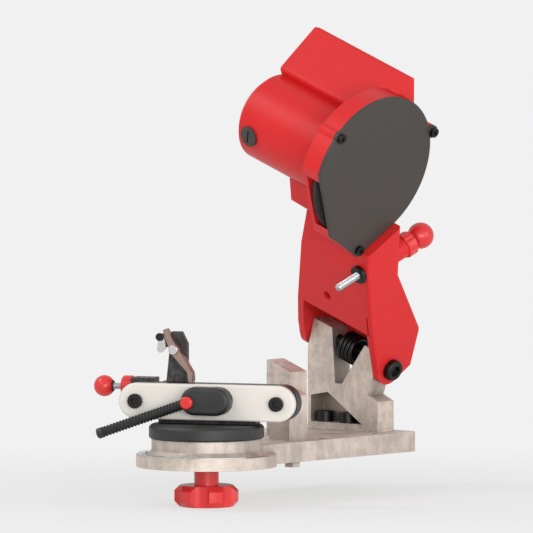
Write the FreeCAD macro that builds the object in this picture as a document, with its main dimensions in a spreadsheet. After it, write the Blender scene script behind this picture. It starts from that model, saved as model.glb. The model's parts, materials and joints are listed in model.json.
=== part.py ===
import FreeCAD, Part

import math
import os

import Sketcher
from FreeCAD import Vector

# Electric saw-chain sharpener for a workbench edge. Millimetres and degrees.
# Origin: the middle of the four bench bolt holes, in the plane of the bench top. +X is to the
# operator's right, -Y is towards the operator and +Z is up. The machine is drawn from the vise's
# swivel axis, and the Machine frame carries it to the bench bolts.
# The wheel's axis and the head's axle both lie along N, tilted so that the right end is lower.

DIMENSIONS = [
    # base casting
    ("edge", 1.0, "small bevels, steps and laps"),
    ("plate_left", 78.0, "base plate's left edge from the swivel axis"),
    ("plate_right", 28.0, "base plate's right edge from the swivel axis"),
    ("plate_back", 207.0, "base plate's back edge from the swivel axis"),
    ("plate_thick", 15.0, "height of the base plate"),
    ("plate_wall", 5.0, "wall of the base casting, which is hollow below"),
    ("plate_rib", 4.0, "thickness of the ribs under the plate"),
    ("plate_corner", 6.0, "radius of the plate's upright corners"),
    ("boss_foot", 52.5, "radius of the front boss at the bench"),
    ("boss_rim", 9.0, "height of the boss's upright rim"),
    ("boss_top", 41.0, "radius of the boss's top"),
    ("boss_flare", 4.0, "boss's flare beyond its top"),
    ("boss_waist", 12.5, "height where the boss's flare ends"),
    ("boss_height", 21.0, "height of the boss"),
    ("scale_inner", 45.8, "inner radius of the angle scale"),
    ("scale_outer", 51.8, "outer radius of the angle scale"),
    ("scale_back", 15.0, "how far the angle scale reaches back past the sides"),
    ("scale_thick", 0.8, "thickness of the angle scale"),
    ("bench_hole", 4.3, "radius of the four bench bolt holes"),
    ("bench_boss", 9.0, "radius of the bosses round the bench bolt holes"),
    ("bench_span_x", 82.0, "bench bolt spacing across"),
    ("bench_span_y", 60.0, "bench bolt spacing front to back"),
    ("bench_mid_y", 137.0, "middle of the bench bolt pattern"),
    ("lug_back", 76.0, "bench-edge lug's back face from the swivel axis"),
    ("lug_size", 8.0, "bench-edge lug's width and length"),
    ("lug_drop", 4.0, "bench-edge lug's depth below the bench plane"),
    # cast tower and depth-stop anvil on the base
    ("tower_left", 36.0, "tower's left face from the swivel axis"),
    ("tower_right", 12.5, "tower's right face from the swivel axis"),
    ("tower_front", 107.0, "tower's front face"),
    ("tower_depth", 19.0, "tower's depth front to back"),
    ("tower_drop", 2.6, "tower's top below the line of the chain point"),
    ("anvil_wide", 20.0, "anvil's width"),
    ("anvil_deep", 20.0, "anvil's depth front to back"),
    ("anvil_gap", 0.6, "gap between the anvil and the depth screw with the head down"),
    # tilt and the head's axle
    ("tilt", 20.0, "tilt of the wheel's axis, right end down"),
    ("chain_height", 61.5, "height of the jaws' top, where the chain lies"),
    ("axle_back", 187.0, "axle behind the swivel axis"),
    ("axle_rise", 7.3, "axle above the chain point, square to its own line"),
    ("axle_radius", 5.0, "radius of the axle"),
    ("lean", 26.0, "the arm's forward lean when the head is up"),
    ("swing", 48.5, "how far the head swings down"),
    ("fit_gap", 0.06, "radial clearance of running fits"),
    ("slip_gap", 0.3, "clearance between faces that pass each other"),
    # pivot bracket
    ("bracket_left", 58.0, "bracket's left face from the swivel axis"),
    ("bracket_right", 13.0, "bracket's right face from the swivel axis"),
    ("bracket_depth", 18.0, "bracket's depth front to back"),
    ("bracket_crest", 10.0, "bracket's top above the axle"),
    ("cheek_left", 61.5, "left end of the bracket along the axle, from the wheel's plane"),
    ("cheek_right", 9.0, "right end of the bracket along the axle"),
    ("column_inner", 42.0, "column's right edge along the axle, from the wheel's plane"),
    ("upright_inner", 7.0, "right upright's left edge along the axle"),
    ("notch_x", 27.0, "bottom of the notch from the swivel axis"),
    ("notch_wide", 7.0, "width of the notch's bottom"),
    ("notch_z", 50.0, "height of the notch's bottom"),
    ("shoulder_drop", 24.0, "bracket's right shoulder below the axle"),
    ("shoulder_z", 38.0, "height of the bracket's right foot"),
    ("arch_peak_x", 38.0, "peak of the arch from the swivel axis"),
    ("arch_peak_z", 43.0, "height of the arch's peak"),
    ("arch_wall", 3.0, "wall left of the arch"),
    ("arch_left_z", 40.0, "height of the arch at its left wall"),
    ("arch_right_x", 3.5, "right end of the arch from the swivel axis, to the left"),
    ("foot_thick", 5.0, "thickness of the bracket's foot"),
    ("bracket_web", 3.5, "wall behind the arch"),
    ("bracket_bolt", 4.0, "radius of the bracket bolts' shanks"),
    ("bracket_bolt_head", 6.5, "radius of the bracket bolts' heads"),
    ("bracket_bolt_tall", 8.0, "height of the bracket bolts' heads"),
    ("bracket_bolt_first", 47.0, "first bracket bolt from the swivel axis, to the left"),
    ("bracket_bolt_step", 23.0, "spacing of the bracket bolts"),
    # arm
    ("arm_length", 178.0, "axle to wheel centre along the arm"),
    ("wheel_setback", 4.5, "wheel centre behind the arm's line"),
    ("arm_left", 68.0, "arm's left face from the wheel's plane, at the axle"),
    ("arm_right", 16.0, "arm's right face from the wheel's plane"),
    ("arm_wall", 4.0, "wall of the arm"),
    ("skirt_wall", 4.4, "thickness of the skirt between the ears, front to back"),
    ("arm_round", 2.5, "rounding of the arm's right edges"),
    ("arm_front", 16.0, "arm's front face ahead of the axle line"),
    ("arm_apron", 38.0, "lower edge of the arm's front face above the axle"),
    ("arm_waist_z", 79.0, "height of the arm's waist above the axle"),
    ("arm_waist_y", 16.0, "arm's back at the waist, behind the axle line"),
    ("neck_z", 124.0, "height of the neck, where the arm meets the cradle"),
    ("neck_front", 12.0, "arm's front at the neck"),
    ("neck_back", 22.5, "arm's back at the neck"),
    ("neck_left", 50.5, "arm's left face at the neck"),
    ("ear_radius", 13.0, "radius of the ears round the axle"),
    ("ear_thick", 6.0, "thickness of the ears"),
    ("heel_y", 33.0, "ear's heel behind the axle line"),
    ("heel_z", 21.5, "ear's heel above the axle"),
    ("sole_y", 20.5, "ear's sole behind the axle line"),
    ("sole_angle", 19.5, "angle where the ear's sole leaves its round"),
    ("sole_z", 7.7, "ear's sole below the axle"),
    ("cradle_left", 60.0, "left face of the motor's cradle"),
    ("cradle_front", 18.5, "front of the motor's cradle"),
    ("cradle_back", 26.0, "back of the motor's cradle"),
    ("cradle_rise", 8.0, "height of the slope from the neck out to the cradle"),
    ("peep_x", 31.0, "hole in the arm's front face from the wheel's plane"),
    ("peep_z", 55.0, "height of the hole in the arm's front face"),
    ("peep_radius", 3.5, "radius of the hole in the arm's front face"),
    ("slit_x", 11.5, "slit in the arm's front face from the wheel's plane"),
    ("slit_wide", 1.6, "width of the slit"),
    ("slit_top", 55.0, "height of the slit's top"),
    ("bush_wall", 2.0, "wall of the axle bushes"),
    ("bolt_head_radius", 8.0, "radius of the axle's head"),
    ("bolt_head_thick", 5.5, "thickness of the axle's head"),
    ("axle_nut_flat", 8.5, "half the axle nut across flats"),
    ("spring_wire", 1.5, "radius of the return spring's wire"),
    ("spring_coil", 10.0, "radius of the return spring's coil"),
    ("spring_pitch", 3.7, "pitch of the return spring"),
    ("spring_left", 31.0, "left end of the return spring from the wheel's plane"),
    ("spring_long", 14.8, "length of the return spring's coil"),
    # wheel, shroud and guard
    ("wheel_radius", 54.0, "radius of the grinding wheel"),
    ("wheel_thick", 3.2, "thickness of the grinding wheel"),
    ("wheel_edge", 0.6, "bevel of the wheel's rim"),
    ("wheel_bore", 11.5, "radius of the wheel's bore"),
    ("guard_radius", 59.5, "radius of the guard and the shroud"),
    ("guard_wall", 3.5, "wall of the shroud's rim"),
    ("guard_tip", 70.5, "distance of the guard's pointed end from the wheel centre"),
    ("guard_tip_angle", 160.5, "angle of the pointed end from the arm's line, turning forward"),
    ("tip_flank", 22.5, "angle from the pointed end to the root of its front flank"),
    ("guard_flat", 51.0, "distance of the guard's open edge from the wheel centre"),
    ("guard_flat_angle", 96.0, "angle of the open edge"),
    ("shroud_left", 10.0, "shroud's left face from the wheel's plane"),
    ("shroud_back", 3.0, "thickness of the shroud's back wall"),
    ("shroud_right", 6.0, "shroud's right edge from the wheel's plane"),
    ("cover_thick", 3.0, "thickness of the guard cover"),
    ("lug_radius", 5.0, "radius of the cover's fixing lugs"),
    ("lug_front_at", 56.5, "front lug from the wheel centre"),
    ("lug_front_angle", 33.0, "angle of the front lug"),
    ("lug_rear_at", 62.5, "rear lug from the wheel centre"),
    ("lug_rear_angle", 272.0, "angle of the rear lug"),
    ("lug_tip_at", 64.5, "tip screw from the wheel centre"),
    ("cover_screw", 2.0, "radius of the cover screws"),
    ("cover_screw_head", 3.8, "radius of the cover screws' heads"),
    ("housing_ring", 25.5, "housing screws from the wheel centre"),
    # motor
    ("motor_radius", 34.0, "radius of the motor housing"),
    ("motor_wall", 2.5, "wall of the motor housing"),
    ("motor_left", 98.0, "left end of the motor housing's tube"),
    ("motor_cap", 8.0, "length of the motor's end cap"),
    ("motor_cap_round", 5.0, "rounding of the end cap"),
    ("vent_wide", 3.0, "width of the end cap's cooling slots"),
    ("vent_inner", 15.0, "inner end of the cooling slots from the motor's axis"),
    ("vent_outer", 27.0, "outer end of the cooling slots from the motor's axis"),
    ("vent_count", 10.0, "cooling slots of the end cap"),
    ("box_left", 98.0, "left end of the switch box"),
    ("box_right", 2.0, "right end of the switch box beyond the wheel's plane"),
    ("box_wall", 2.5, "wall of the switch box"),
    ("box_front", 13.5, "front foot of the switch box behind the wheel centre"),
    ("box_edge", 12.0, "front edge of the box's top behind the wheel centre"),
    ("box_edge_z", 38.0, "height of the top's front edge"),
    ("box_back", 54.5, "back edge of the box's top"),
    ("box_back_z", 56.5, "height of the top's back edge"),
    ("box_heel", 50.5, "back foot of the box"),
    ("box_heel_z", 15.0, "height of the box's back foot"),
    ("box_round", 3.0, "rounding of the box's top edges"),
    ("switch_y", 38.0, "middle of the switch behind the wheel centre"),
    ("switch_z", 33.0, "height of the switch's middle"),
    ("switch_wide", 19.5, "length of the rocker's opening"),
    ("switch_tall", 11.5, "width of the rocker's opening"),
    ("switch_rim", 2.5, "rim of the switch bezel"),
    ("switch_thick", 2.0, "thickness of the switch bezel"),
    ("rocker_tilt", 8.0, "tilt of the rocker either way"),
    ("gland_at", 80.0, "cable gland to the left of the wheel's plane"),
    ("gland_y", 40.5, "cable gland behind the wheel centre"),
    ("gland_radius", 6.0, "radius of the cable gland"),
    ("gland_bore", 3.2, "radius of the cable gland's bore"),
    ("gland_long", 12.0, "length of the cable gland outside the box"),
    ("shaft_radius", 4.0, "radius of the motor shaft"),
    ("bearing_radius", 11.0, "outer radius of the motor's bearings"),
    ("bearing_wide", 7.0, "width of the motor's bearings"),
    ("front_bearing_at", 22.0, "front bearing's left face from the wheel's plane"),
    ("core_left", 78.0, "left end of the stator and rotor cores"),
    ("core_long", 36.0, "length of the stator and rotor cores"),
    ("rotor_radius", 17.5, "radius of the rotor core"),
    ("rotor_slots", 12.0, "slots of the rotor core"),
    ("slot_deep", 5.0, "depth of the rotor's slots"),
    ("air_gap", 0.6, "gap between the rotor and the stator"),
    ("coil_long", 5.5, "overhang of the stator coils"),
    ("commutator_radius", 10.5, "radius of the commutator"),
    ("commutator_left", 94.0, "commutator's left end"),
    ("commutator_long", 9.5, "length of the commutator"),
    ("fan_clear", 5.5, "clearance between the fan and the motor housing's wall"),
    ("fan_left", 33.5, "left face of the fan"),
    ("fan_long", 7.0, "length of the fan"),
    ("fan_disc", 1.5, "thickness of the fan's disc"),
    ("fan_hub", 4.0, "wall of the fan's hub"),
    ("fan_blades", 9.0, "blades of the fan"),
    ("flange_radius", 19.0, "radius of the wheel's flanges"),
    ("flange_thick", 3.0, "thickness of the wheel's flanges"),
    ("flange_slope", 4.0, "slope of the inner flange"),
    ("spindle_nut_flat", 6.5, "half the spindle nut across flats"),
    ("brush_at", 89.3, "brushes from the wheel's plane"),
    ("brush_turn", 8.5, "angle between the brushes and the front and back"),
    ("brush_radius", 4.0, "radius of the brushes' bore"),
    ("brush_cap_radius", 8.0, "radius of the brush caps"),
    # depth stop
    ("depth_x", 8.0, "depth screw to the right of the wheel's plane"),
    ("depth_z", 94.0, "depth screw above the axle"),
    ("depth_tip", 40.0, "depth screw's tip ahead of the axle line"),
    ("depth_radius", 3.0, "radius of the depth screw"),
    ("depth_seat", 28.0, "back face of the depth screw's boss"),
    ("depth_insert", 5.0, "radius of the threaded insert"),
    ("insert_wall", 3.0, "wall of the boss round the threaded insert"),
    ("insert_flange", 7.0, "radius of the threaded insert's front flange"),
    ("insert_thick", 3.0, "thickness of the threaded insert's front flange"),
    ("thumb_radius", 9.5, "radius of the depth screw's thumb nut"),
    ("thumb_flutes", 6.0, "finger flutes of the thumb nuts"),
    ("thumb_thick", 9.0, "thickness of the thumb nuts"),
    ("depth_ball", 10.0, "radius of the depth screw's ball"),
    ("depth_ball_mouth", 5.6, "radius of the recess in the depth screw's ball"),
    ("ball_recess", 2.0, "depth of the recesses in the balls"),
    ("ball_bite", 8.0, "how far a screw reaches into its ball"),
    # vise
    ("vise_turn", 25.0, "the vise's stored turn, seen from above"),
    ("swivel_radius", 43.0, "radius of the swivel plate"),
    ("swivel_thick", 10.5, "thickness of the swivel plate"),
    ("stud_radius", 6.0, "radius of the swivel stud"),
    ("pointer_reach", 3.5, "swivel plate's pointer beyond its edge"),
    ("pointer_thick", 2.0, "thickness of the pointer"),
    ("jaw_half", 55.0, "guide screws from the vise's middle"),
    ("jaw_mid", 2.0, "middle of the jaws to the right of the swivel axis"),
    ("jaw_axis", 48.0, "height of the guide screws"),
    ("jaw_round", 13.5, "radius of the front jaw's ends"),
    ("jaw_front_thick", 6.0, "thickness of the front jaw"),
    ("jaw_rear_thick", 11.0, "thickness of the rear jaw"),
    ("jaw_foot", 38.0, "half the length of the rear jaw's foot"),
    ("jaw_slot", 3.0, "open gap between the jaws"),
    ("guide_radius", 3.5, "radius of the guide screws' shoulders"),
    ("guide_head", 5.5, "radius of the guide screws' heads"),
    ("guide_head_thick", 3.5, "thickness of the guide screws' heads"),
    ("lever_x", 8.0, "cam lever's axis to the right of the swivel axis"),
    ("lever_z", 49.5, "height of the cam lever's axis"),
    ("hub_left", 12.0, "centre of the cam hub's left round, left of its axis"),
    ("hub_right", 4.5, "centre of the cam hub's right round, right of its axis"),
    ("hub_radius", 10.5, "radius of the cam hub's rounds"),
    ("hub_thick", 13.0, "thickness of the cam hub"),
    ("hub_round", 3.0, "rounding of the cam hub's face"),
    ("clamp_radius", 4.0, "radius of the clamp stud"),
    ("clamp_head", 7.0, "half the clamp stud's head across flats"),
    ("clamp_head_thick", 4.5, "thickness of the clamp stud's head"),
    ("rod_radius", 4.0, "radius of the lever rod"),
    ("rod_root", 17.0, "lever rod's root, left of the cam lever's axis"),
    ("rod_reach", 75.5, "length of the lever rod outside its root"),
    ("rod_angle", 19.5, "lever rod's slope below the level"),
    ("rod_drop", 1.0, "lever rod's root below the cam lever's axis"),
    ("rod_lift", 7.8, "lever rod's middle above the foot of the cam hub"),
    ("rod_bite", 5.0, "how far the lever rod reaches in behind its root"),
    ("cap_radius", 4.8, "radius of the lever's cap"),
    ("cap_thick", 3.0, "thickness of the lever's cap"),
    # chain stop
    ("stop_y", 21.5, "stop screw behind the swivel axis"),
    ("stop_z", 56.5, "height of the stop screw"),
    ("stop_radius", 2.5, "radius of the stop screw"),
    ("stop_ball", 8.0, "radius of the stop screw's ball"),
    ("stop_ball_mouth", 4.5, "radius of the recess in the stop screw's ball"),
    ("stop_ball_x", 86.5, "stop screw's ball to the left of the swivel axis"),
    ("stop_nut_thick", 8.5, "thickness of the stop screw's thumb nut"),
    ("stop_nut_radius", 8.2, "radius of the stop screw's thumb nut"),
    ("stop_travel", 6.0, "travel of the chain stop each way"),
    ("ear_left_x", 63.0, "left face of the stop bracket"),
    ("ear_wide", 18.0, "width of the stop bracket"),
    ("ear_deep", 14.0, "depth of the stop bracket behind the rear jaw"),
    ("ear_tall", 15.0, "height of the stop bracket"),
    ("carriage_left", 38.0, "left face of the carriage"),
    ("carriage_wide", 18.0, "width of the carriage"),
    ("carriage_tall", 15.0, "height of the carriage"),
    ("rail_tall", 5.0, "height of the rear jaw's guide groove"),
    ("rail_deep", 3.0, "depth of the guide groove"),
    ("rail_z", 51.0, "middle of the guide groove"),
    ("post_left", 33.0, "left edge of the post's foot"),
    ("post_right", 17.0, "right edge of the post"),
    ("post_top", 99.5, "height of the post's top"),
    ("post_front", 5.0, "front face of the post behind the chain's line"),
    ("post_thick", 6.0, "thickness of the post"),
    ("post_slope", 9.0, "height of the slope at the post's top right"),
    ("post_foot", 4.0, "thickness of the post's foot"),
    ("pawl_pin_x", 24.5, "pawl's pin to the left of the swivel axis"),
    ("pawl_pin_z", 86.5, "height of the pawl's pin"),
    ("pawl_pin_radius", 2.0, "radius of the pawl's pin"),
    ("pawl_thick", 2.4, "thickness of the pawl's strip"),
    ("pawl_wide", 8.0, "width of the pawl's strip"),
    ("pawl_top_x", 33.0, "pawl's upper end to the left of the swivel axis"),
    ("pawl_top_z", 101.0, "height of the pawl's upper end"),
    ("pawl_foot_x", 11.5, "pawl's foot to the left of the swivel axis"),
    ("pawl_foot_z", 62.5, "height of the pawl's foot"),
    ("tip_wide", 9.0, "width of the pawl's adjusting plate"),
    ("tip_low", 86.0, "height of the adjusting plate's lower end"),
    ("tip_screw", 1.5, "radius of the adjusting plate's screw"),
    ("tip_screw_in", 2.0, "adjusting plate's screw left of the strip's upper end"),
    ("tip_screw_head", 3.0, "radius of the adjusting plate's screw head"),
    ("tip_screw_drop", 5.0, "adjusting plate's screw below the strip's upper end"),
    # lock knob below the base
    ("knob_radius", 24.0, "radius of the lock knob"),
    ("knob_lobes", 6.0, "lobes of the lock knob"),
    ("knob_scallop", 9.0, "radius of the knob's finger scallops"),
    ("knob_top", 14.0, "top of the lock knob's rim below the bench plane"),
    ("knob_tall", 16.0, "height of the lock knob's rim"),
    ("knob_slope", 4.0, "bevel of the lock knob's rim"),
    ("stud_up", 5.0, "swivel stud's end above the lock knob's bottom"),
    ("knob_stem", 9.2, "radius of the lock knob's stem"),
    ("washer_thick", 2.0, "thickness of the lock washer"),
    ("washer_radius", 14.0, "radius of the lock washer"),
]

document = FreeCAD.newDocument("chain_sharpener")
sheet = document.addObject("Spreadsheet::Sheet", "Sizes")
FINISHED = []


class Size:
    """A length, angle or ratio: its present value and the sheet expression that gives it."""

    def __init__(self, value, text):
        self.value = value
        self.text = text

    def __add__(self, other):
        other = as_size(other)
        return Size(self.value + other.value, f"({self.text} + {other.text})")

    def __radd__(self, other):
        return as_size(other) + self

    def __sub__(self, other):
        other = as_size(other)
        return Size(self.value - other.value, f"({self.text} - {other.text})")

    def __rsub__(self, other):
        return as_size(other) - self

    def __mul__(self, other):
        other = as_size(other)
        return Size(self.value * other.value, f"({self.text} * {other.text})")

    def __rmul__(self, other):
        return as_size(other) * self

    def __truediv__(self, other):
        other = as_size(other)
        return Size(self.value / other.value, f"({self.text} / {other.text})")

    def __neg__(self):
        return Size(-self.value, f"(0 - {self.text})")


def as_size(number):
    return number if isinstance(number, Size) else Size(float(number), f"{float(number):.10g}")


def sine(angle):
    angle = as_size(angle)
    return Size(math.sin(math.radians(angle.value)), f"sin({angle.text})")


def cosine(angle):
    angle = as_size(angle)
    return Size(math.cos(math.radians(angle.value)), f"cos({angle.text})")


def arc_cosine(ratio):
    return Size(math.degrees(math.acos(ratio.value)), f"(acos({ratio.text}) / 1 deg)")


class Dimensions:
    """The driving dimensions, each a named cell of the sheet."""

    def __init__(self):
        for row, (alias, value, meaning) in enumerate(DIMENSIONS, start=1):
            sheet.set(f"A{row}", meaning)
            sheet.set(f"B{row}", f"{value:g}")
            sheet.setAlias(f"B{row}", alias)
            setattr(self, alias, Size(value, f"Sizes.{alias}"))


d = Dimensions()
document.recompute()
ZERO = as_size(0)


def bind(item, name, size):
    item.setExpression(name, as_size(size).text)


def vector_text(triple):
    return "vector(" + "; ".join(as_size(part).text for part in triple) + ")"


def frame(name, parent, place, *turns):
    """A named coordinate frame: placed in its parent, then turned about each axis in order."""
    item = document.addObject("App::Placement", name)
    text = f"placement({vector_text(place)}; rotation(vector(1; 0; 0); 0))"
    if parent:
        text = f"{parent}.Placement * {text}"
    for axis, angle in turns:
        turn = f"rotation({vector_text(axis)}; {as_size(angle).text})"
        text += f" * placement(vector(0; 0; 0); {turn})"
    item.setExpression("Placement", text)
    return name


AXIS_X = (1, 0, 0)
AXIS_Y = (0, 1, 0)
AXIS_Z = (0, 0, 1)
QUARTER = 90

tilt_sine = sine(d.tilt)
tilt_cosine = cosine(d.tilt)


def tilted(along, square):
    """X and Z of a point given along the tilted axle line and square to it, from the chain point."""
    x = along * tilt_cosine + square * tilt_sine
    z = d.chain_height + square * tilt_cosine - along * tilt_sine
    return x, z


axle_x, axle_z = tilted(ZERO, d.axle_rise)
bolts_mid_x = (d.plate_right - d.plate_left) / 2
frame("Machine", None, (-bolts_mid_x, -d.bench_mid_y, 0))
frame("Head", "Machine", (axle_x, d.axle_back, axle_z), (AXIS_Y, d.tilt), (AXIS_X, d.lean))
frame("Axle", "Head", (0, 0, 0), (AXIS_Y, QUARTER))
frame("Spindle", "Head", (0, d.wheel_setback, d.arm_length))
frame("Shaft", "Spindle", (0, 0, 0), (AXIS_Y, QUARTER))
frame("Brushes", "Shaft", (0, 0, -d.brush_at), (AXIS_Z, -d.brush_turn))
frame("Rocker", "Spindle", (-(d.box_left + d.box_wall + d.switch_thick), d.switch_y, d.switch_z),
      (AXIS_Y, -QUARTER), (AXIS_X, -d.rocker_tilt))
frame("Depth", "Head", (d.depth_x, 0, d.depth_z), (AXIS_X, QUARTER))
frame("Vise", "Machine", (0, 0, 0), (AXIS_Z, d.vise_turn))
frame("Lever", "Vise", (d.lever_x, 0, d.lever_z), (AXIS_X, QUARTER))
frame("Stop", "Vise", (0, d.stop_y, d.stop_z), (AXIS_Y, QUARTER))
frame("Pawl", "Vise", (-d.pawl_pin_x, 0, d.pawl_pin_z), (AXIS_X, QUARTER))


def fix_point(sketch, curve, end, x, y):
    """Hold one point of a curve at x, y of the sketch."""
    for kind, size in (("DistanceX", x), ("DistanceY", y)):
        size = as_size(size)
        index = sketch.addConstraint(Sketcher.Constraint(kind, -1, 1, curve, end, size.value))
        bind(sketch, f"Constraints[{index}]", size)


def hold_radius(sketch, curve, radius):
    index = sketch.addConstraint(Sketcher.Constraint("Radius", curve, radius.value))
    bind(sketch, f"Constraints[{index}]", radius)


def draw_circle(sketch, x, y, radius):
    radius = as_size(radius)
    centre = Vector(as_size(x).value, as_size(y).value, 0)
    curve = sketch.addGeometry(Part.Circle(centre, Vector(0, 0, 1), radius.value), False)
    hold_radius(sketch, curve, radius)
    fix_point(sketch, curve, 3, x, y)


def draw_polygon(sketch, corners):
    """A closed outline of straight edges through the corners."""
    points = [Vector(as_size(x).value, as_size(y).value, 0) for x, y in corners]
    count = len(points)
    edges = [sketch.addGeometry(Part.LineSegment(points[i], points[(i + 1) % count]), False)
             for i in range(count)]
    for i, (x, y) in enumerate(corners):
        sketch.addConstraint(Sketcher.Constraint("Coincident", edges[i - 1], 2, edges[i], 1))
        fix_point(sketch, edges[i], 1, x, y)


def draw_slot(sketch, left, right, y, radius):
    """A level slot: two half rounds of one radius about left and right, joined by straight edges."""
    x1, x2, level, r = (as_size(size).value for size in (left, right, y, radius))
    up = Vector(0, r, 0)
    centres = (Vector(x1, level, 0), Vector(x2, level, 0))
    half = math.pi / 2
    normal = Vector(0, 0, 1)
    arcs = [sketch.addGeometry(Part.ArcOfCircle(Part.Circle(centres[0], normal, r), half, 3 * half)),
            sketch.addGeometry(Part.ArcOfCircle(Part.Circle(centres[1], normal, r), -half, half))]
    lines = [sketch.addGeometry(Part.LineSegment(centres[0] - up, centres[1] - up), False),
             sketch.addGeometry(Part.LineSegment(centres[1] + up, centres[0] + up), False)]
    for line, first, last in ((lines[0], arcs[0], arcs[1]), (lines[1], arcs[1], arcs[0])):
        sketch.addConstraint(Sketcher.Constraint("Tangent", first, 2, line, 1))
        sketch.addConstraint(Sketcher.Constraint("Tangent", line, 2, last, 1))
    fix_point(sketch, arcs[0], 3, left, y)
    hold_radius(sketch, arcs[0], as_size(radius))
    index = sketch.addConstraint(Sketcher.Constraint("DistanceX", -1, 1, arcs[1], 3, x2))
    bind(sketch, f"Constraints[{index}]", right)
    sketch.addConstraint(Sketcher.Constraint("Horizontal", lines[0]))


class Piece:
    """One sub-part: a body that sits in a named frame, and the operations that shape it."""

    def __init__(self, label, frame_name):
        self.body = document.addObject("PartDesign::Body", label)
        self.body.Label = label
        self.body.setExpression("Placement", f"{frame_name}.Placement")
        self.parent = frame_name
        FINISHED.append(self.body)

    def sketch(self, role, lift=ZERO, across=ZERO, rise=ZERO, turn=None):
        """A sketch on one of the body's origin planes, lifted off it and moved or turned in it."""
        plane = next(item for item in self.body.Origin.OriginFeatures if item.Role == role)
        sketch = self.body.newObject("Sketcher::SketchObject", "Outline")
        sketch.AttachmentSupport = [(plane, "")]
        sketch.MapMode = "FlatFace"
        axis, angle = turn or (AXIS_X, 0)
        spin = f"rotation({vector_text(axis)}; {as_size(angle).text})"
        offset = f"placement({vector_text((across, rise, lift))}; {spin})"
        sketch.setExpression("AttachmentOffset", offset)
        return sketch

    def add(self, kind, **settings):
        before = self.volume()
        feature = self.body.newObject(kind, kind.split("::")[1])
        for name, value in settings.items():
            if isinstance(value, Size):
                bind(feature, name, value)
            else:
                setattr(feature, name, value)
        document.recompute()
        if abs(self.volume() - before) < 1e-6:
            raise RuntimeError(f"{feature.Name} of {self.body.Label} changes nothing")
        return feature

    def volume(self):
        shape = self.body.Shape
        return shape.Volume if self.body.Tip and not shape.isNull() else 0.0

    def pad(self, sketch, length, back=False, both=False):
        """Material along the sketch's normal, against it, or half each way."""
        kind = "Symmetric" if both else "One side"
        return self.add("PartDesign::Pad", Profile=sketch, SideType=kind, Length=as_size(length),
                        Reversed=back)

    def cut(self, sketch, length, back=False, both=False):
        """A pocket along the sketch's normal, against it, or half each way."""
        kind = "Symmetric" if both else "One side"
        return self.add("PartDesign::Pocket", Profile=sketch, SideType=kind, Length=as_size(length),
                        Reversed=not back)

    def turn(self, sketch):
        return self.add("PartDesign::Revolution", Profile=sketch, ReferenceAxis=(sketch, ["V_Axis"]),
                        Angle=360.0)

    def groove(self, sketch):
        return self.add("PartDesign::Groove", Profile=sketch, ReferenceAxis=(sketch, ["V_Axis"]),
                        Angle=360.0)

    def ring_of(self, feature, count):
        """Repeat a feature evenly round the body's Z axis."""
        axis = next(item for item in self.body.Origin.OriginFeatures if item.Role == "Z_Axis")
        pattern = self.body.newObject("PartDesign::PolarPattern", "Ring")
        pattern.Originals = [feature]
        pattern.Axis = (axis, [""])
        pattern.Angle = 360.0
        bind(pattern, "Occurrences", count)
        self.body.Tip = pattern
        document.recompute()

    def soften(self, radius, wanted, kind="Fillet"):
        """Round or chamfer the edges for which wanted(edge) holds."""
        base = self.body.Tip
        names = [f"Edge{i}" for i, edge in enumerate(base.Shape.Edges, start=1) if wanted(edge)]
        size_name = "Radius" if kind == "Fillet" else "Size"
        self.add(f"PartDesign::{kind}", Base=(base, names), **{size_name: as_size(radius)})


def runs_along(edge, axis):
    """True if a straight edge lies along the axis."""
    if edge.Curve.TypeId != "Part::GeomLine":
        return False
    return abs(edge.Curve.Direction.dot(Vector(*axis))) > 0.999


def lies_at(edge, axis, place):
    """True if the whole edge lies at one place along the axis."""
    box = edge.BoundBox
    low = Vector(box.XMin, box.YMin, box.ZMin).dot(Vector(*axis))
    high = Vector(box.XMax, box.YMax, box.ZMax).dot(Vector(*axis))
    return abs(low - place) < 1e-3 and abs(high - place) < 1e-3


def turned(label, frame_name, profile):
    """A round piece about its frame's Z axis, from a profile of radius and height."""
    piece = Piece(label, frame_name)
    sketch = piece.sketch("XZ_Plane")
    draw_polygon(sketch, profile)
    piece.turn(sketch)
    return piece


def ring_profile(inner, outer, low, high):
    return [(inner, low), (outer, low), (outer, high), (inner, high)]


def draw_hexagon(sketch, half_flat, x=ZERO, y=ZERO):
    corner = half_flat / cosine(30)
    draw_polygon(sketch, [(x + corner * cosine(60 * i), y + corner * sine(60 * i)) for i in range(6)])


def spiral(piece, radius, wire, start, pitch, length):
    """A coil of six-sided wire about the body's Z axis."""
    sketch = piece.sketch("XZ_Plane")
    draw_hexagon(sketch, wire, radius, start)
    piece.add("PartDesign::AdditiveHelix", Profile=sketch, ReferenceAxis=(sketch, ["V_Axis"]),
              Mode="pitch-height-angle", Pitch=pitch, Height=length)


def guard_point(distance, angle):
    """Y and Z of a point of the guard, from the wheel centre, at an angle from the arm's line."""
    return -(distance * sine(angle)), distance * cosine(angle)


# ---------------------------------------------------------------- base


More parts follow.
